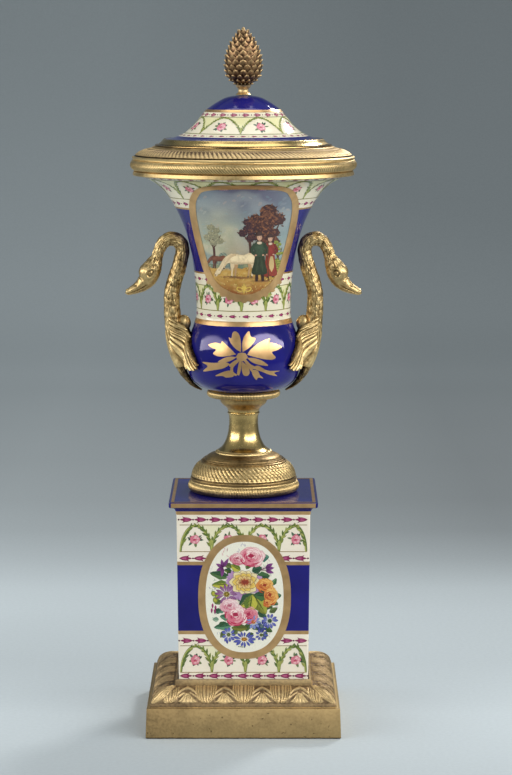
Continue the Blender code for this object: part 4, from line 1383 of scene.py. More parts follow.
def daisy(canvas, u, v, radii, count, petal, edge, heart, layer, draw, inner=0.22):
    """A flower of narrow petals round a small heart."""
    for k in range(count):
        angle = 360 * k / count + draw.uniform(-6, 6)
        a = radians(angle)
        reach = hypot(radii[0] * cos(a), radii[1] * sin(a)) * draw.uniform(0.85, 1.05)
        root = on_oval((u, v), (inner * radii[0], inner * radii[1]), a)
        length, width = reach * (1 - inner), 0.82 * TURN * 0.6 * reach / count
        dark, level = petal * 0.45, layer + 0.3 * (k % 2)
        canvas.petal(root, length + 0.15, width + 0.35, angle, dark, dark, level, 1.3, rows=4)
        canvas.petal(root, length, width, angle, edge, petal, level + 0.15, 1.3, rows=4)
        end = on_oval(root, (0.6 * reach,) * 2, a)
        canvas.stroke([root, end], 0.10 * width, petal * 0.55, level + 0.2)
    heart_radii = (0.27 * radii[0], 0.27 * radii[1])
    canvas.blob((u, v), heart_radii, 0, heart, heart * 0.7, layer + 1, (0.12, 6, 0), rings=1)
    for k in range(5):
        at = on_oval((u, v), (0.15 * radii[0], 0.15 * radii[1]), TURN * k / 5)
        canvas.blob(at, (0.055 * radii[0],) * 2, 0, heart * 0.15, heart * 0.15, layer + 2, rings=1)


def twig(canvas, u, v, size, tone, layer, draw):
    """A faint sprig of small strokes."""
    for _ in range(6):
        angle = draw.uniform(30, 150)
        at = u + draw.uniform(-0.5, 0.5) * size, v + draw.uniform(-0.5, 0.5) * size
        canvas.petal(at, 0.45 * size, 0.12 * size, angle, tone, tone * 1.2, layer, rows=3)


# Faint sprigs behind the bouquet: across, up, size and colour.
FAINT_SPRIGS = [
    (-11, 125, 6, tint(220, 180, 176)), (16, 117, 6, tint(214, 190, 190)),
    (-21.5, 101, 5, tint(176, 168, 176)), (-17, 70, 5, tint(196, 198, 196)),
    (17, 69, 6, tint(214, 206, 190)), (22, 84, 5, tint(200, 214, 190)),
    (0, 129, 5, tint(196, 190, 196)), (-22, 113, 4, tint(214, 206, 206)),
]
# Pale washes behind it: across, up, half width, half height, tilt and colour.
WASHES = [
    (-9, 111, 8, 4, 10, tint(214, 220, 196)), (11, 111, 8, 4, -12, tint(206, 214, 190)),
    (2, 96, 10, 7, 0, tint(190, 170, 166)), (12, 76, 10, 6, 10, tint(208, 216, 212)),
    (-9, 72, 9, 4.5, -10, tint(212, 220, 200)),
]
# Its dark leaves at the back: across, up, length, width and angle.
BACK_LEAVES = [
    (-7, 116, 7, 3.6, 165), (2, 114.5, 6, 3.6, 60), (12, 107, 8, 4.4, -15), (-15, 92, 5, 3.2, 200),
    (11, 99, 6, 4.4, 60), (8, 92.5, 8, 5, -20), (12, 88.5, 8, 4.6, -5), (10, 84.5, 7, 4.2, -35),
    (-15, 84.5, 5.4, 3.6, 170), (-2, 91.5, 6, 4, 100), (-12, 77, 7, 4.4, 215), (4, 76.5, 6, 4, 250),
    (12, 74.5, 6, 4, 200), (15, 73, 5.4, 3.4, -30), (-4, 72.5, 6, 3.6, 230), (-13, 71, 5.4, 3, 240),
    (7, 69, 5.4, 3.2, 200), (16, 70, 5, 3, 250), (18, 84, 6, 3.6, 30),
]
# Its leaves in front of those, with their light and dark colours.
FRONT_LEAVES = [
    (11, 122, 6.5, 5.5, 10, tint(104, 150, 124), tint(70, 120, 104)),
    (-2, 113.5, 7.5, 5.2, 150, LEAF_LIGHT, LEAF_MIDDLE),
    (-8, 113, 5, 3.4, 170, LEAF_MIDDLE, LEAF_DARK),
    (6, 113, 7.0, 5.6, 20, tint(52, 92, 66), LEAF_DARK),
    (9, 109, 9.0, 6.0, 5, tint(66, 104, 60), LEAF_DARK),
    (-10, 109, 13.0, 5.6, 168, tint(80, 112, 62), LEAF_DARK),
    (-10, 104, 11.5, 5.6, 184, LEAF_LIGHT, LEAF_MIDDLE),
    (-7, 109, 6.0, 5.0, 130, tint(70, 100, 60), LEAF_DARK),
    (20, 103, 5.4, 3.0, 62, tint(112, 150, 96), tint(70, 112, 70)),
    (20, 95, 6.0, 4.6, 10, tint(96, 140, 100), tint(48, 88, 58)),
    (18, 92, 6.2, 4.0, -22, tint(88, 130, 92), tint(48, 88, 58)),
    (-8, 75, 12.0, 5.0, 188, tint(94, 142, 108), tint(44, 92, 60)),
    (-9, 80, 7.0, 4.6, 170, tint(92, 140, 108), tint(56, 100, 74)),
    (3, 73, 11.0, 4.8, 180, OLIVE, tint(84, 96, 40)),
    (10, 76, 7.0, 5.0, -60, tint(54, 100, 70), LEAF_DARK),
    (-13, 86, 5.0, 3.4, 200, tint(92, 138, 112), tint(60, 104, 80)),
    (-17, 79, 4.0, 3.0, 180, tint(150, 178, 150), tint(120, 156, 130)),
]
# The blue flowers below: across, up, radii, petals, colours of petal, edge and heart, layer.
BLUE_FLOWERS = [
    (7.0, 77.2, (5.2, 5.0), 9, tint(132, 150, 204), BLUE_PALE, ORANGE, 8),
    (18.2, 78.0, (5.6, 5.4), 10, BLUE, BLUE_PALE, tint(70, 100, 70), 6),
    (12.6, 74.2, (4.2, 4.0), 9, tint(50, 54, 130), BLUE, tint(120, 140, 150), 5),
    (12.4, 68.0, (4.6, 4.2), 9, BLUE, tint(110, 120, 176), tint(112, 124, 66), 5),
    (-10.2, 68.2, (5.0, 5.4), 9, BLUE, BLUE_PALE, tint(112, 124, 66), 5),
    (0.6, 65.0, (8.0, 5.4), 13, BLUE, tint(112, 118, 190), tint(226, 160, 60), 5),
]
# The rings of the yellow flower: reach, petals, and the colours of their tips and roots.
YELLOW_RINGS = [
    (1.0, 10, YELLOW_PALE, YELLOW * 0.8),
    (0.78, 9, tint(238, 208, 104), tint(176, 112, 54)),
    (0.54, 8, tint(242, 218, 140), ORANGE_DEEP),
]
DULL_ROSE = tint(196, 90, 110), tint(226, 148, 160), PINK_WHITE
ORANGE_ROSE = ORANGE_DEEP, ORANGE, tint(240, 190, 104)
PALE_ROSE = tint(206, 110, 130), tint(232, 176, 184), tint(246, 222, 218)
WARM_ROSE = PINK_DEEP, tint(206, 84, 108), tint(230, 150, 160)


def bouquet_ground(canvas, layer, draw):
    """Faint sprigs and washes behind the flowers, tendrils all round them, and the leaves."""
    for u, v, size, tone in FAINT_SPRIGS:
        twig(canvas, u, v, size, tone, layer, draw)
    for u, v, a, b, tilt, tone in WASHES:
        level = layer + 0.2 + 0.01 * a
        canvas.blob((u, v), (a, b), tilt, tone, WHITE_GROUND, level, (0.08, 5, tilt), rings=3)
    for k in range(26):
        a = TURN * k / 26 + draw.uniform(-0.1, 0.1)
        u = 0.5 + 20.5 * cos(a) * draw.uniform(0.92, 1.08)
        v = 93.5 + 31.5 * sin(a) * draw.uniform(0.93, 1.04)
        shade = (tint(196, 206, 180), tint(206, 190, 196), tint(176, 190, 170))[k % 3]
        curl = [(u, v), on_oval((u, v), (1.1, 1.1), a + 0.6), on_oval((u, v), (2.3, 2.3), a)]
        canvas.stroke(curl, 0.3, shade, layer + 0.3)
        for length, turn in ((1.5, 50), (1.3, -40)):
            canvas.petal(curl[1], length, 0.6, degrees(a) + turn, shade, shade, layer + 0.4, rows=3)
    for u, v, length, width, angle in BACK_LEAVES:
        dark = (LEAF_DARK, tint(62, 88, 44), tint(84, 98, 52))[int(draw.integers(3))]
        canvas.leaf((u, v), length, width, angle, dark * 1.5, dark, layer + 0.7)
    for u, v, length, width, angle, light, dark in FRONT_LEAVES:
        canvas.leaf((u, v), length, width, angle, light, dark, layer + 1)


def violet_and_yellow(canvas, layer, draw):
    """The large open flower in the middle: violet petals round three rings of yellow ones."""
    for k in range(5):
        level = layer + 3 + 0.1 * k
        canvas.petal((-5, 107), 7.0, 4.2, 118 + 22 * k, VIOLET, tint(190, 150, 190), level)
    for k, angle in enumerate((150, 178, 205, 232, -30, -5, 20, 258)):
        level = layer + 3.4 + 0.05 * k
        canvas.petal((0.8, 104.5), 13.0, 5.4, angle, VIOLET, tint(190, 156, 190), level, 1.25)
    heart = (0.8, 105.2)
    for ring, (reach, count, tip, root) in enumerate(YELLOW_RINGS):
        for k in range(count):
            angle = 360 * (k + 0.5 * ring) / count + draw.uniform(-6, 6)
            length = reach * hypot(10.6 * cos(radians(angle)), 8.2 * sin(radians(angle)))
            width, level = 6.4 * reach, layer + 4 + ring + 0.12 * k
            behind = heart, length + 0.22, width + 0.42, angle
            canvas.petal(*behind, VIOLET_DEEP, tint(124, 74, 66), level, 1.5)
            canvas.petal(heart, length, width, angle, root, tip, level + 0.06, 1.5)
            canvas.stroke([heart, beyond(heart, angle, 0.8 * length)], 0.42, root * 0.6, level + 0.10)
    canvas.blob((1.2, 105.4), (2.9, 1.9), 0, tint(140, 62, 44), ORANGE_DEEP, layer + 8, (0.25, 7, 0))
    for k in range(9):
        stamen = [(-3.2 + k, 103.2), (-2.6 + 0.95 * k, 107.2)]
        canvas.stroke(stamen, 0.35, tint(112, 46, 34), layer + 8.5)


def bouquet(canvas, layer, draw):
    """The bunch of flowers in the oval on the front of the pedestal."""
    bouquet_ground(canvas, layer, draw)
    for angle, length in ((60, 7.5), (100, 6.0), (150, 5.5), (205, 5.0), (262, 6.5)):
        canvas.petal((-14, 115.5), length, 2.5, angle, VIOLET_DEEP, VIOLET, layer + 3)
    for v, angle in ((115.3, 32), (113.6, -18), (114.6, 8)):
        canvas.stroke([(11.5, 113.6), (14.5, v), (16.0, v)], 0.5, tint(110, 70, 90), layer + 2)
        canvas.petal((15.2, v), 6.0, 2.7, angle, VIOLET_DEEP, VIOLET, layer + 3)
    rose(canvas, 5.8, 123.0, 18.0, 14.0, 10, layer + 3, draw)
    rose(canvas, -4.0, 121.6, 11.0, 8.6, -20, layer + 2, draw, DULL_ROSE)
    violet_and_yellow(canvas, layer, draw)
    for u, v, wide, tall in ((15.0, 102.6, 12.5, 11), (18.6, 95.6, 11, 13.5), (16.4, 90.6, 7, 6)):
        rose(canvas, u, v, wide, tall, 30, layer + 4, draw, ORANGE_ROSE)
    colours = tint(122, 58, 116), tint(184, 138, 178), tint(176, 150, 60)
    daisy(canvas, -11.6, 96.8, (8.0, 7.2), 14, *colours, layer + 4, draw)
    for angle in (-35, -8, 15, 40):
        canvas.petal((-7.5, 97), 8.2, 2.6, angle, tint(196, 160, 196), VIOLET, layer + 3.5)
    canvas.leaf((17, 95.5), 9.5, 7.0, 176, tint(70, 108, 58), LEAF_DARK, layer + 7)
    canvas.leaf((7.5, 96.8), 13.5, 9.0, 222, LEAF_LIGHT, LEAF_DARK, layer + 6)
    canvas.leaf((6.0, 96.4), 14.5, 8.6, 262, LEAF_LIGHT, LEAF_MIDDLE, layer + 7)
    canvas.leaf((7.0, 96.6), 16.0, 9.5, 302, tint(166, 170, 66), OLIVE, layer + 6)
    for middle in ((-20.6, 97.2), (-19.4, 92.6), (-17.8, 94.8)):
        canvas.blob(middle, (1.7, 2.1), 20, LEAF_LIGHT, LEAF_MIDDLE, layer + 3)
    for root in ((-21.2, 90.4), (-19.2, 89.0), (-21.8, 87.0), (-19.6, 86.2)):
        canvas.petal(root, 3.6, 1.4, 268, tint(180, 60, 120), tint(110, 30, 80), layer + 3)
    rose(canvas, -9.2, 88.2, 14.5, 10.5, 40, layer + 4, draw, PALE_ROSE)
    rose(canvas, 4.0, 82.0, 12.5, 13.0, 70, layer + 4, draw, WARM_ROSE)
    rose(canvas, -5.0, 81.6, 16.5, 15.0, -30, layer + 5, draw)
    for *flower, above in BLUE_FLOWERS:
        daisy(canvas, *flower, layer + above, draw, 0.3)
    canvas.petal((-11.6, 64.8), 3.2, 1.6, 280, BLUE, tint(50, 50, 120), layer + 4)
    for k in range(4):
        root = (-2.5 + 1.2 * k, 59.4 - 0.25 * k)
        canvas.petal(root, 1.6, 0.45, 150 - 8 * k, LEAF_DARK, LEAF_DARK, layer + 4)


def oval(canvas, middle, outer, inner, tone, layer, slot=GILT, columns=96):
    """A flat ring between two ovals, or the whole oval if the inner one is nothing."""
    angle = np.linspace(0, TURN, columns + 1)[None, :-1]
    share = np.linspace(0, 1, 2 if inner[0] else 12)[:, None]
    a, b = [outer[k] + (inner[k] - outer[k]) * share for k in range(2)]
    c, s = np.cos(angle), np.sin(angle)
    full = (np.abs(c) ** OVAL_POWER + np.abs(s) ** OVAL_POWER) ** (-1 / OVAL_POWER)
    canvas.sheet(middle[0] + a * full * c, middle[1] + b * full * s, tone, layer, slot, around=True)


# The ovals are a little squarer than ellipses, whose power is 2.
OVAL_POWER = 2.3
OVAL_MIDDLE = (0.8, 94.7)
OVAL_GROUND = tint(243, 239, 220)
# Rows of buds at heights, and the way they face; arches from heights, and how tall they are.
BUD_ROWS = (149.1, 1), (122.0, -1), (63.9, 1), (38.9, -1)
ARCH_ROWS = (127.0, 18.0), (41.7, 18.3)
BAND_LINES = 145.4, 126.7, 60.3, 41.4
BAND_HALF, FASCIA_HALF = 43.8, 49.6


def paint_pedestal_side(canvas, draw):
    """Four rows of buds between brown lines, and two rows of garland arches with roses."""
    for v, facing in BUD_ROWS:
        buds(canvas, -39.6, 9.9, 9, v, 9.6, facing)
    for v in BAND_LINES:
        canvas.bar((-BAND_HALF, BAND_HALF), (v - 0.24, v + 0.24), LINE_BROWN, 1)
    for low, height in ARCH_ROWS:
        feet = [-21.8, 1.4, 24.6]
        garland_arches(canvas, feet, 23.2, height, 4.6, draw, 10.0, low, PALE_GROUND)
        small_rose(canvas, -33.3, low + 0.46 * height, 10.0, draw)
        garland(canvas, -43.2, 1, 20.2, height, 4.6, draw, low, True)
        garland(canvas, 43.3, -1, 15.6, height, 4.6, draw, low, True)


def paint_pedestal():
    """The bands on every side, the slab's gilt lines, and the oval bouquet on the front."""
    skin = Skin()
    draw = np.random.default_rng(5)
    for quarter in range(4):
        canvas = Canvas(skin, face_place(quarter))
        paint_pedestal_side(canvas, draw)
        if quarter == 0:
            oval(canvas, OVAL_MIDDLE, (32.0, 43.7), (26.6, 38.7), GILT_TONE, 8)
            oval(canvas, OVAL_MIDDLE, (26.9, 39.0), (0, 0), OVAL_GROUND, 9, ENAMELLED)
            bouquet(canvas, 10, draw)
        else:
            side_ornament(canvas)
        fascia = Canvas(skin, slab_edge_place(quarter))
        fascia.bar((-FASCIA_HALF, FASCIA_HALF), (158.3, 161.3), GILT_TONE, 1, GILT)
        top = Canvas(skin, slab_top_place(quarter))
        u = np.stack([np.linspace(-half, half, 21) for half in (FASCIA_HALF, 47.4)])
        top.sheet(u, np.array([[1.5], [3.7]]), GILT_TONE, 1, GILT)
    return skin.piece("pedestal_painting", [ENAMEL, GILDING], sharp=None)


def side_ornament(canvas):
    """A plain gilt rosette for the pedestal's hidden sides."""
    for k in range(8):
        length, layer = (9.5, 2) if k % 2 == 0 else (7.5, 2.2)
        canvas.petal((0, 94), length, 3.6, 45 * k, GILT_TONE, GILT_TONE, layer, slot=GILT)
    canvas.blob((0, 94), (2.2, 2.2), 0, GILT_TONE, GILT_TONE, 4, slot=GILT)


def ring_line(canvas, r_zero, v, width, tone):
    """A painted line all the way round."""
    canvas.bar((-pi * r_zero, pi * r_zero), (v - width / 2, v + width / 2), tone, 1, columns=180)


def paint_lid():
    """Two bud bands and eight garland arches on the lid's flare."""
    skin = Skin()
    draw = np.random.default_rng(6)
    by_height = Canvas(skin, turned_place(LID_PROFILE, 29.0))
    colours = {"tone": tint(150, 74, 96), "gleam": tint(206, 140, 150)}
    buds(by_height, 1.5, TURN * 29.0 / 22, 22, 425.1, 6.2, 1, **colours)
    ring_line(by_height, 29.0, 423.65, 0.4, tint(128, 124, 62))
    low, high = 412.7, 423.4
    height = float(LID_PROFILE.along(high) - LID_PROFILE.along(low))
    canvas = Canvas(skin, turned_place(LID_PROFILE, 36.0, low))
    pitch = TURN * 36.0 / 8
    garland_arches(canvas, [-1.5 + pitch * k for k in range(8)], pitch, height - 0.3, 2.4, draw, 10.0)
    ring_line(by_height, 29.0, 412.4, 0.35, tint(118, 118, 52))
    low_buds = Canvas(skin, turned_place(LID_PROFILE, 43.5, 410.4))
    buds(low_buds, 0, TURN * 43.5 / 36, 36, 1.5, 4.6, 1)
    return skin.piece("lid_painting", [ENAMEL], sharp=None)


# The heights of the shield's edge, each with half its width.
SHIELD = [
    (298.2, 0.0), (299.4, 7.6), (301.6, 12.8), (305.0, 18.6), (310.5, 23.7), (318.0, 27.4), (328.0, 30.4),
    (338.0, 33.0), (348.0, 35.2), (358.0, 36.8), (366.0, 37.0), (371.5, 35.6), (375.4, 32.8), (377.8, 27.8),
    (379.2, 18.0), (379.8, 0.0),
]
SHIELD_SHIFT = 0.5


def shield_outline(inset):
    """The right half of the shield's edge, pulled inwards."""
    line = curve([(half, z) for z, half in SHIELD], 5)
    inset = inset * (1 - 0.35 * ease(line[:, 1:], 374, 379))
    moved = line - inset * outward(line)
    moved[:, 0] = np.maximum(moved[:, 0], 0.0)
    moved[[0, -1], 0] = 0.0
    return moved


def shield_reach(v):
    """How far from the middle the picture's loose strokes go at a height."""
    heights, halves = zip(*SHIELD)
    return float(np.interp(v, heights, halves)) - 6


def shield_sheet(canvas, inset, tone_at, layer, columns=40):
    """Fills the shield, in a colour that depends on the place."""
    line = shield_outline(inset)
    heights = np.linspace(line[:, 1].min() + 0.02, line[:, 1].max() - 0.02, 64)
    order = np.argsort(line[:, 1], kind="stable")
    half = np.interp(heights, line[order, 1], line[order, 0])
    r = VASE_PROFILE.at(VASE_PROFILE.along(heights))[0]
    reach = np.arcsin(np.clip(half / r, 0, 1))
    u = np.sin(np.linspace(-1, 1, columns + 1)[None, :] * reach[:, None]) * r[:, None]
    v = np.broadcast_to(heights[:, None], u.shape)
    canvas.sheet(u, v, tone_at(u, v), layer)


def meadow(u, v):
    """Sky, haze, far hills and a golden meadow for the picture."""
    soft = clouds(u / 9.0 + 3, v / 6.0, 21)
    sky = blend(ease(v, 330, 366), tint(150, 166, 160), tint(128, 141, 149))
    sky = blend(0.9 * ease(v, 352, 372) * ease(np.abs(u - 4), 34, 12), sky, tint(114, 112, 132))
    sky = blend(0.45 * ease(soft, 0.45, 0.8), sky, tint(176, 182, 178))
    haze = ease(v, 370, 346) * ease(u, 10, -16) * (0.45 + 0.55 * soft)
    sky = blend(0.95 * haze, sky, tint(202, 194, 158))
    green = ease(v, 356, 332) * ease(clouds(u / 4.0, v / 5.0, 6), 0.45, 0.75) * ease(u, 0, -14)
    sky = blend(0.6 * green, sky, tint(150, 166, 140))
    ridge = np.sin(u * 0.16)
    hills = ease(v, 331.0 + 2.2 * ridge + 0.9 * np.sin(u * 0.41 + 1), 328.6 + 2.0 * ridge)
    found = blend(0.8 * hills, sky, tint(134, 150, 146))
    found = blend(0.5 * ease(v, 350, 328) * ease(np.abs(u - 1), 20, 8), found, tint(184, 150, 108))
    ground = blend(ease(v, 302, 317), tint(138, 78, 42), tint(202, 158, 80))
    ground = blend(0.55 * ease(clouds(u / 5.0, v / 1.6, 4), 0.4, 0.8), ground, tint(178, 132, 66))
    ground = blend(0.45 * ease(clouds(u / 3.0, v / 1.1, 9), 0.5, 0.9), ground, tint(222, 190, 120))
    ground = blend(0.75 * ease(u, 12, 26) * ease(v, 308, 322), ground, tint(168, 170, 60))
    edge = 321.5 + 1.4 * np.sin(u * 0.2 + 1) + 0.5 * np.sin(u * 0.9)
    return blend(ease(v, edge + 1.2, edge - 0.8), found, ground)


# The grazing animal's body, neck and face: behind its middle and up, in its own lengths.
HORSE = [
    (-0.44, 0.20), (-0.22, 0.18), (0.06, 0.15), (0.30, 0.23), (0.46, 0.19), (0.54, 0.04), (0.52, -0.14),
    (0.40, -0.25), (0.18, -0.20), (-0.08, -0.24), (-0.32, -0.24), (-0.48, -0.14), (-0.56, 0.02),
    (-0.54, 0.15),
]
GRAZING_NECK = [
    (-0.28, 0.20), (-0.52, 0.16), (-0.72, 0.00), (-0.86, -0.24), (-0.96, -0.46), (-1.00, -0.62),
    (-0.90, -0.66), (-0.80, -0.46), (-0.66, -0.30), (-0.56, -0.20), (-0.42, -0.18), (-0.30, -0.10),
]
GRAZING_FACE = [
    (-0.80, -0.34), (-0.95, -0.40), (-1.08, -0.60), (-1.12, -0.74), (-1.02, -0.77), (-0.92, -0.62),
    (-0.82, -0.50),
]


class Subject:
    """Something small in the picture, drawn in its own units on a canvas and a first layer."""

    def __init__(self, canvas, u, v, size, layer):
        self.canvas, self.u, self.v = canvas, u, v
        self.size, self.layer = size, layer

    def at(self, *points):
        """Turns places in the subject's units into places on the canvas."""
        return [(self.u + self.size * a, self.v + self.size * b) for a, b in points]

    def stroke(self, points, width, tone, above, taper=0.8):
        self.canvas.stroke(self.at(*points), width * self.size, tone, self.layer + above, taper=taper)

    def blob(self, middle, radii, inner, outer, above, rings=1, tilt=0):
        a, b = radii
        radii = (a * self.size, b * self.size)
        self.canvas.blob(*self.at(middle), radii, tilt, inner, outer, self.layer + above, rings=rings)

    def patch(self, outline, inner, outer, above, dabbed, **how):
        self.canvas.patch(self.at(*outline), inner, outer, self.layer + above, dabbed=dabbed, **how)


def grazing_animal(canvas, u, v, size, body, shade, layer):
    """A horse or cow at grass: legs, body, neck and head with their shading, mane and tail."""
    it = Subject(canvas, u, v, size, layer)
    dim = (2 * body + shade) / 3
    for place, far in ((-0.40, 0), (-0.26, 1), (0.28, 1), (0.42, 0)):
        knee = place + (0.05 if place > 0 else 0.015)
        tone = shade if far else dim
        it.stroke([(place, -0.05), (knee, -0.26), (knee, -0.42)], 0.17, tone, -0.4 * far, 0.6)
        it.stroke([(knee, -0.36), (place, -0.58), (place - 0.01, -0.75)], 0.075, tone, 0)
        it.stroke([(place - 0.02, -0.73), (place - 0.04, -0.80)], 0.09, shade * 0.4, 0.1, 0.7)
    it.patch(GRAZING_NECK, body, dim, 0.6, 0.35)
    it.patch(HORSE, body, dim, 1.0, 0.35, middle=it.at((0.0, 0.06))[0], steps=5)
    for place, wide in ((-0.32, 0.17), (0.36, 0.15)):
        it.blob((place, 0.02), (wide, 0.15), np.minimum(body * 1.1, 1), body, 1.3, 3)
    for k in range(12):
        start = -0.46 + 0.08 * k
        hair = [(start, -0.16), (start + 0.05, -0.20), (start + 0.12, -0.22)]
        it.stroke(hair, 0.05, dim * (0.75 + 0.03 * (k % 3)), 1.4, 0.15)
    it.patch(GRAZING_FACE, body, dim, 0.8, 0.3)
    it.blob((-0.93, -0.50), (0.018, 0.018), shade * 0.2, shade * 0.2, 1.2)
    it.blob((-1.08, -0.72), (0.03, 0.03), shade * 0.5, shade * 0.5, 1.2)
    it.stroke([(-0.86, -0.36), (-0.80, -0.28), (-0.78, -0.24)], 0.05, dim, 1.2, 0.15)
    for k in range(14):
        a, b = -0.30 - 0.035 * k, 0.19 - 0.003 * k * k
        lock = [(a, b), (a + 0.04, b - 0.03), (a + 0.05, b - 0.09)]
        it.stroke(lock, 0.05, (2.4 * dim + shade) / 3.4, 1.6, 0.4)
    it.stroke([(0.50, 0.14), (0.60, -0.04), (0.57, -0.38)], 0.09, shade * 0.9, 1.7, 0.15)


def country_figure(canvas, u, v, tall, coat, skirt, layer, apron=None, staff=False):
    """A plain standing country figure with a hat and a calm, plain face."""
    it = Subject(canvas, u, v, tall, layer)
    dark, flesh = tint(62, 44, 40), tint(222, 176, 144)
    hat = dark * 1.3
    low = 0.05 if apron is not None else 0.15
    gown = [(-0.08, 0.52), (-0.11, 0.34), (-0.15, low), (0.0, low - 0.03), (0.15, low), (0.11, 0.34)]
    chest = [(-0.07, 0.48), (-0.11, 0.64), (-0.09, 0.75), (0.0, 0.79), (0.09, 0.75), (0.11, 0.64)]
    for side in (-0.05, 0.06):
        it.stroke([(side, 0.22), (side, 0.10), (1.1 * side, -0.01)], 0.055, dark, 0)
    it.patch([*gown, (0.08, 0.52)], skirt, skirt * 0.7, 1, 0.5)
    for k in range(5):
        a = -0.10 + 0.05 * k
        fold = [(0.5 * a, 0.48), (a, 0.26), (1.15 * a, low + 0.03)]
        it.stroke(fold, 0.02, skirt * (0.7 + 0.45 * (k % 2)), 1.5, 0.15)
    if apron is not None:
        canvas.petal(*it.at((0.03, 0.12)), 0.40 * tall, 0.11 * tall, 90, apron, apron * 0.8, layer + 2)
    it.patch([*chest, (0.07, 0.48)], coat * 1.35, coat * 0.9, 3, 0.5)
    it.blob((0.0, 0.755), (0.05, 0.03), tint(232, 214, 186), tint(206, 180, 150), 3.5)
    for side in (-1, 1):
        hand = (0.07 * side, 0.51)
        arm = [(0.09 * side, 0.74), (0.15 * side, 0.60), hand]
        it.stroke(arm, 0.06, coat * (0.8 - 0.1 * side), 4)
        it.blob(hand, (0.022, 0.018), tint(216, 170, 138), tint(190, 140, 112), 4.3)
    if staff:
        it.stroke([(0.17, 0.78), (0.16, 0.40), (0.18, 0.0)], 0.018, tint(96, 66, 44), 4.5)
    it.blob((0.0, 0.865), (0.050, 0.066), flesh, flesh * 0.75, 4, 3)
    for side in (-1, 1):
        it.blob((0.018 * side, 0.872), (0.006, 0.005), dark, dark, 4.6)
    it.stroke([(-0.012, 0.832), (0.012, 0.832)], 0.008, tint(170, 90, 80), 4.6, 0.15)
    it.blob((0.0, 0.918), (0.105, 0.022), hat, hat, 5, tilt=4)
    it.blob((0.0, 0.945), (0.056, 0.045), hat * 1.4, hat, 5.2, 2)


def tree(canvas, u, v, tall, wide, layer, draw, dark, light, clumps=7, trunk=True):
    """A tree or bush: a trunk with boughs, and foliage dabbed on in rounded clumps."""
    bark = tint(88, 58, 50)
    if trunk:
        line = [(u, v), (u + 0.4, v + 0.3 * tall), (u - 0.5, v + 0.62 * tall), (u + 0.6, v + 0.85 * tall)]
        canvas.stroke(line, 0.055 * tall, bark, layer, taper=0.5)
        for side in (-1, 1):
            reaches = (0, 0.42), (side * 0.2, 0.60), (side * 0.32, 0.75)
            canvas.stroke([(u + a * wide, v + b * tall) for a, b in reaches], 0.025 * tall, bark, layer)
    for k in range(clumps):
        a, far = 2.4 * k + draw.uniform(-0.2, 0.2), ((k + 0.3) / clumps) ** 0.5
        middle = on_oval((u, v + 0.70 * tall), (0.36 * wide * far, 0.24 * tall * far), a)
        size = wide * draw.uniform(0.13, 0.20)
        canvas.blob(middle, (size, 0.8 * size), 0, dark, dark * 0.85, layer + 1, (0.12, 7, a))
        for _ in range(26):
            turn, reach = draw.uniform(0, TURN), draw.uniform(0, 1.15) ** 0.6
            shift = reach * cos(turn), 0.85 * reach * sin(turn)
            lit = 0.45 + 0.45 * (shift[1] - 0.6 * shift[0]) + draw.uniform(-0.3, 0.3)
            gain = (light - dark) * np.clip(lit, 0, 1)
            dab = size * draw.uniform(0.12, 0.26)
            at = middle[0] + size * shift[0], middle[1] + size * shift[1]
            looks = dark + gain, dark + gain * 0.8
            canvas.petal(at, 2.2 * dab, 1.1 * dab, draw.uniform(0, 360), *looks, layer + 2 + 0.1 * k, rows=2)


SKY_DABS = tint(206, 200, 180), tint(140, 176, 176), tint(214, 180, 156), tint(170, 178, 176)
GRASS_DABS = tint(160, 140, 60), tint(222, 196, 120), tint(140, 96, 56), tint(184, 146, 74)
FAR_GREENS = tint(132, 146, 112), tint(116, 132, 108), tint(150, 152, 116)
# Trees and bushes: across, up, height, width, layer, dark and light colours, clumps, trunk.
TREES = [
    (-20.5, 322.0, 30, 15, 1.2, tint(150, 146, 116), tint(196, 186, 146), 7, True),
    (15.5, 316.0, 49, 27, 4, tint(78, 50, 48), tint(160, 104, 70), 12, True),
    (4.0, 325.0, 31, 17, 4, tint(70, 48, 54), tint(130, 82, 66), 7, True),
    (23.0, 318.0, 23, 9, 7, tint(126, 136, 56), tint(206, 204, 96), 7, True),
    (-12.0, 314.5, 17, 17, 1.4, tint(122, 136, 124), tint(184, 186, 150), 7, False),
    (22.5, 308.5, 19, 11, 7.2, tint(118, 126, 52), tint(208, 206, 96), 7, False),
]


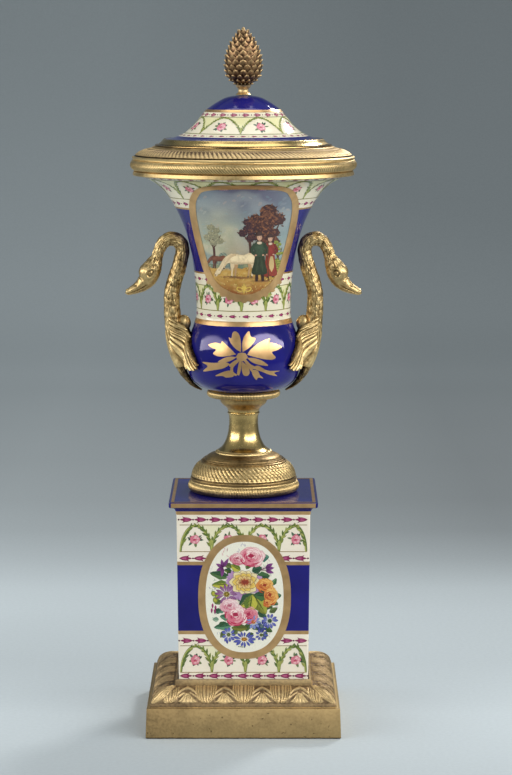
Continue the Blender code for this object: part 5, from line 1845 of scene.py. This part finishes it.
def picture(canvas, layer, draw):
    """A quiet country scene: a pale horse and a cow at grass, dark trees, two country people."""
    shield_sheet(canvas, 4.3, meadow, layer)
    for k in range(110):
        v = draw.uniform(326, 372)
        u = draw.uniform(-shield_reach(v), shield_reach(v))
        sky = meadow(np.array([u]), np.array([v]))[0]
        tone = 0.78 * sky + 0.22 * SKY_DABS[int(draw.integers(4))]
        rise = draw.uniform(-0.8, 1.4)
        dab = [(u - 1.3, v - rise), (u, v + 0.3), (u + 1.3, v + rise)]
        canvas.stroke(dab, draw.uniform(0.8, 1.8), tone, layer + 0.5)
    for k in range(16):
        at = (-25 + 3.3 * k, 322.6 + draw.uniform(-0.4, 1.2))
        green = FAR_GREENS[k % 3]
        canvas.blob(at, (2.6, 1.4), 0, green, green * 0.9, layer + 1, (0.15, 5, k), rings=1)
    for u, v, tall, wide, above, *looks in TREES:
        tree(canvas, u, v, tall, wide, layer + above, draw, *looks)
    grazing_animal(canvas, -17.0, 328.0, 9.0, tint(132, 84, 62), tint(92, 56, 46), layer + 8.0)
    grazing_animal(canvas, -1.4, 328.2, 16.6, tint(244, 222, 178), tint(190, 152, 108), layer + 11)
    red, brick, cream = tint(136, 54, 44), tint(160, 66, 50), tint(212, 182, 124)
    country_figure(canvas, 17.6, 314.8, 31.0, red, brick, layer + 14, apron=cream)
    country_figure(canvas, 10.4, 312.6, 35.0, tint(62, 78, 58), tint(64, 74, 54), layer + 16, staff=True)
    for middle, radii in (((-4, 314.9), (14, 1.2)), ((13, 312.4), (9, 1.1))):
        canvas.blob(middle, radii, 0, tint(128, 88, 52), tint(176, 134, 76), layer + 3, rings=3)
    for _ in range(150):
        v = draw.uniform(303, 321)
        root = (draw.uniform(-shield_reach(v), shield_reach(v)), v)
        tone = GRASS_DABS[int(draw.integers(4))]
        length, angle = draw.uniform(0.8, 2.2), draw.uniform(20, 160)
        canvas.petal(root, length, 0.45, angle, tone, tone, layer + 4, rows=2)


# The gilt spray on the bulb: two upper leaves, two broad side leaves and two small ones, then
# the ends of the tied ribbon. Each place is a length round the bulb and a height.
SPRAY = [
    [(-1.6, 264.2), (-5.2, 266.2), (-8.8, 269.8), (-11.0, 273.8), (-8.8, 273.5), (-8.2, 277.0),
     (-5.8, 278.0), (-2.8, 275.4), (-1.7, 270.0)],
    [(-0.5, 264.2), (-0.7, 270.0), (0.8, 274.8), (4.4, 278.2), (5.6, 274.6), (9.0, 273.2), (6.6, 269.4),
     (3.2, 266.4)],
    [(-5.0, 262.6), (-9.8, 267.0), (-13.4, 269.7), (-15.8, 271.2), (-16.8, 269.4), (-21.2, 270.0),
     (-26.8, 268.2), (-23.6, 266.4), (-19.8, 265.2), (-22.2, 262.6), (-18.0, 260.9), (-11.6, 261.2)],
    [(2.6, 262.4), (5.8, 266.4), (12.2, 270.6), (20.4, 273.0), (19.2, 270.4), (23.6, 269.4),
     (30.2, 266.6), (25.0, 264.6), (20.8, 263.4), (23.6, 259.8), (20.0, 258.4), (12.2, 259.6)],
    [(-4.4, 260.8), (-9.6, 261.0), (-14.4, 259.4), (-18.0, 257.0), (-13.2, 257.0), (-8.6, 258.2)],
    [(2.4, 260.4), (7.8, 260.0), (13.2, 258.0), (17.6, 254.6), (12.4, 255.0), (6.4, 257.0)],
    [(-9.0, 255.8), (-12.8, 257.2), (-21.0, 256.2), (-31.6, 256.0), (-26.4, 253.6), (-31.0, 249.6),
     (-21.2, 251.2), (-14.0, 252.8)],
    [(-8.4, 251.6), (-13.2, 250.6), (-20.6, 247.2), (-15.0, 247.4), (-12.2, 246.4), (-6.6, 247.6)],
    [(-0.8, 258.0), (-1.1, 252.8), (0.2, 248.4), (3.2, 248.0), (4.4, 250.6), (3.0, 254.4)],
    [(7.4, 254.2), (10.4, 254.8), (14.0, 252.4), (19.2, 250.8), (27.4, 250.2), (22.6, 249.2),
     (25.4, 246.8), (19.2, 248.0), (13.2, 250.4), (8.6, 252.2)],
    [(5.6, 252.2), (9.8, 251.4), (11.8, 248.2), (14.4, 245.8), (10.6, 246.4), (9.2, 244.8), (6.4, 248.6)],
]
# The ribbon's folds from the knot, each with its width.
RIBBONS = [
    ([(-2.6, 259.4), (-7.0, 256.4), (-9.6, 254.4)], 2.0),
    ([(-3.0, 258.6), (-7.6, 254.2), (-7.6, 250.0), (-4.6, 248.2)], 2.0),
    ([(-1.8, 258.6), (-2.6, 253.2), (-3.6, 248.2)], 2.3),
    ([(1.4, 258.6), (4.2, 255.0), (8.6, 253.0)], 2.4),
    ([(0.9, 258.6), (4.6, 253.6), (6.8, 250.4)], 1.9),
]


def gilt_spray(canvas):
    """The gilt spray of leaves and tied ribbon on the front of the bulb."""
    for k, outline in enumerate(SPRAY):
        canvas.patch(outline, GILT_TONE, GILT_TONE, 1 + 0.1 * k, GILT, steps=4)
    for path, width in RIBBONS:
        canvas.stroke(path, width, GILT_TONE, 3, GILT, 0.6)
    canvas.blob((-1.0, 260.9), (3.9, 3.0), 0, GILT_TONE, GILT_TONE, 4, (0.06, 6, 0), slot=GILT)


def scroll(canvas, u, v, size, layer):
    """A small gilt sprig with two curled stems in the picture's foreground."""
    gold = tint(232, 196, 96)
    for angle, share in ((30, 0.7), (62, 0.7), (90, 0.95), (118, 0.7), (150, 0.7)):
        canvas.petal((u, v), size * share, 0.2 * size, angle, gold, gold * 0.8, layer)
    stem = (0, 0), (0.5, -0.25), (0.95, 0.05), (0.8, 0.35), (0.55, 0.2)
    for side in (-1, 1):
        curl = [(u + side * a * size, v + b * size) for a, b in stem]
        canvas.stroke(curl, 0.16 * size, gold * 0.9, layer + 0.5)
    canvas.petal((u, v), 0.6 * size, 0.2 * size, 270, gold, gold * 0.8, layer + 0.6)


def vase_bands(skin, draw):
    """Bud bands and garland arches on the white grounds round the neck and below the rim."""
    olive = tint(132, 122, 60)
    r = 33.0
    by_height = Canvas(skin, turned_place(VASE_PROFILE, r))
    for start, v, facing in ((2.2, 287.8, -1), (1.0, 312.6, 1)):
        buds(by_height, start, TURN * r / 22, 22, v, 6.2, facing)
    for v, width in ((291.5, 0.5), (308.4, 0.45)):
        ring_line(by_height, r, v, width, olive)
    pitch = TURN * r / 12
    feet = [-1.2 + pitch * k for k in range(12)]
    garland_arches(by_height, feet, pitch, 16.2, 4.4, draw, 9.0, 291.8)
    low, high = 368.6, 381.4
    upper = Canvas(skin, turned_place(VASE_PROFILE, 58.0, low))
    height = float(VASE_PROFILE.along(high) - VASE_PROFILE.along(low))
    pitch = TURN * 58.0 / 14
    garland_arches(upper, [pitch * k for k in range(14)], pitch, height, 3.8, draw, 9.4)
    for v, width in ((368.4, 0.45), (381.6, 0.4)):
        ring_line(by_height, r, v, width, olive)
    buds(Canvas(skin, turned_place(VASE_PROFILE, 50.0)), 3.0, TURN * 50.0 / 32, 32, 364.9, 6.8, 1)
    rim = Canvas(skin, turned_place(VASE_PROFILE, 69.0, 382.0))
    buds(rim, 0.0, TURN * 69.0 / 48, 48, 1.3, 5.2, 1)


def gilt_frame(canvas):
    """The shield's gilt frame, with small bosses along its lower edge."""
    for side in (-1, 1):
        rims = np.stack([shield_outline(inset) * (side, 1) for inset in np.linspace(0, 4.6, 5)])
        canvas.sheet(rims[::side, :, 0], rims[::side, :, 1], GILT_TONE, 20, GILT)
    edge = shield_outline(0.3)
    edge = edge[edge[:, 1] < 322]
    edge = edge[np.argsort(edge[:, 0])]
    for u in np.linspace(-23.5, 23.5, 11):
        middle = (u, float(np.interp(abs(u), edge[:, 0], edge[:, 1])) + 0.5)
        canvas.blob(middle, (2.3, 1.7), -1.6 * u, GILT_TONE, GILT_TONE, 19, slot=GILT)


def paint_vase():
    """The bands round the neck, the picture in its gilt shield, and the gilt spray on the bulb."""
    skin = Skin()
    draw = np.random.default_rng(8)
    vase_bands(skin, draw)
    front = Canvas(skin, front_place(VASE_PROFILE))
    picture(front, 9, draw)
    scroll(front, 0.0, 306.6, 5.0, 16)
    gilt_frame(front)
    gilt_spray(Canvas(skin, turned_place(VASE_PROFILE, BULB_RADIUS)))
    return skin.piece("vase_painting", [ENAMEL, GILDING], sharp=None)


# ---------------------------------------------------------------- studio


# The floor's path away from the camera in metres, its greys, which are painted light and shade for how the
# light falls off over it, and how far painted shade darkens its right side, each at a share of the depth
# from 1 m in front of the object to 3 m behind it.
FLOOR_LINE = [
    (-2.2, 0.0), (-0.5, 0.0), (0.15, 0.0), (0.5, 0.0), (1.2, 0.0), (1.8, 0.0), (2.3, 0.09),
    (2.75, 0.46), (3.0, 1.1), (3.1, 2.2), (3.1, 3.4),
]
FLOOR_PAINTED_LIGHT_GREYS = [
    (0.0, 0.19), (0.20, 0.42), (0.25, 0.53), (0.288, 0.47), (0.333, 0.50), (0.355, 0.48), (0.388, 0.395),
    (0.422, 0.33), (0.465, 0.30), (0.53, 0.295), (0.60, 0.315), (0.725, 0.375), (0.80, 0.385),
    (0.90, 0.355), (1.0, 0.305),
]
FLOOR_RIGHT_SHADE_SHARES = [
    (0.24, 0.0), (0.29, 0.15), (0.333, 0.44), (0.355, 0.54), (0.388, 0.80), (0.425, 0.97), (0.47, 1.0),
    (0.53, 0.93), (0.60, 0.84), (0.725, 0.62), (0.80, 0.52), (1.0, 0.43),
]


def studio_floor():
    """A pale sheet that lies flat under the object and curves up far behind it."""
    across = np.linspace(3.4, -3.4, 13)
    rows = [[(x, y, max(z, 0.0)) for x in across] for y, z in curve(FLOOR_LINE, 8)]
    skin = Skin()
    skin.sheet(np.array(rows) / MM)
    sweep = bpy.data.objects.new("studio_sweep", skin.mesh("studio_sweep", 0))
    bpy.context.scene.collection.objects.link(sweep)
    made, tree, shader = begin("studio_paper", Roughness=0.85, IOR=1.35)
    place = node(tree, "ShaderNodeSeparateXYZ", {0: node(tree, "ShaderNodeTexCoord").outputs["Object"]})
    depth = ranged(tree, place.outputs["Y"], 0, 1, (-1.0, 3.0))
    # Painted light and shade: the greys by depth stand in for the fall of light over the sweep.
    colour = ramp(tree, depth, *[(stop, (grey, 1.10 * grey, 1.135 * grey)) for stop, grey in FLOOR_PAINTED_LIGHT_GREYS])
    # Painted shade: the right side of the sweep darkens, by as much as the depth's share says.
    side = ranged(tree, place.outputs["X"], 1.0, 0.54, (-0.25, 0.25))
    far = ramp(tree, depth, *[(stop, (share,) * 3) for stop, share in FLOOR_RIGHT_SHADE_SHARES])
    colour = mixed(tree, far, colour, mixed(tree, 1.0, colour, side, "MULTIPLY"))
    grain = ranged(tree, noise(tree, 3, 3), 0.97, 1.03, (0.3, 0.7))
    colour = mixed(tree, 1.0, colour, grain, "MULTIPLY")
    tree.links.new(colour, shader.inputs["Base Color"])
    sweep.data.materials.append(made)


# The height that the lights face, in metres.
LIT_HEIGHT = 0.26


def area_light(name, azimuth, elevation, distance, size, power, roll=0.0):
    """A soft box that faces the object. Azimuth 0 is in front of it, 90 to its right."""
    data = bpy.data.lights.new(name, "AREA")
    data.shape = "RECTANGLE"
    data.size, data.size_y = size
    data.energy = power
    made = bpy.data.objects.new(name, data)
    bpy.context.scene.collection.objects.link(made)
    a, e = radians(azimuth), radians(elevation)
    away = Vector((sin(a) * cos(e), -cos(a) * cos(e), sin(e)))
    made.location = Vector((0, 0, LIT_HEIGHT)) + away * distance
    made.rotation_euler = (away.to_track_quat("Z", "Y") @ Quaternion((0, 0, 1), radians(roll))).to_euler()


def make_studio():
    """Pale floor, two long soft boxes in front, a small key behind on the right, and one on top."""
    studio_floor()
    area_light("box_right", 53, 21.5, 1.7, (2.9, 0.20), 29, roll=-9)
    area_light("box_left", -69, 15.5, 1.7, (2.2, 0.32), 17.5, roll=9)
    area_light("key_back", 148, 37, 1.8, (0.30, 0.30), 13)
    area_light("top", 180, 83, 2.2, (2.0, 1.1), 17)
    world = bpy.data.worlds.new("studio_air")
    world.use_nodes = True
    air = world.node_tree.nodes["Background"].inputs
    air["Color"].default_value = (0.62, 0.70, 0.74, 1)
    air["Strength"].default_value = 0.40
    bpy.context.scene.world = world
    bpy.context.scene.view_settings.view_transform = "Standard"


def make_camera():
    """The camera in front of the object, a little above its middle, looking slightly down."""
    looking_down = 7.63
    data = bpy.data.cameras.new("camera")
    data.sensor_width = 36
    data.lens = 117.06
    data.clip_end = 20
    made = bpy.data.objects.new("camera", data)
    bpy.context.scene.collection.objects.link(made)
    made.location = (0.0087, -1.750, 0.469)
    made.rotation_euler = (radians(90 - looking_down), 0, 0)
    bpy.context.scene.camera = made


# ---------------------------------------------------------------- all of it


def main():
    make_base()
    make_pedestal()
    make_foot()
    make_collar()
    make_vase()
    make_rim_mount()
    make_lid_ring()
    make_lid()
    make_finial()
    paint_pedestal()
    paint_vase()
    paint_lid()
    make_handle("handle_left_casting", -1, 11)
    make_handle("handle_right_casting", 1, 12)
    make_studio()
    make_camera()


main()
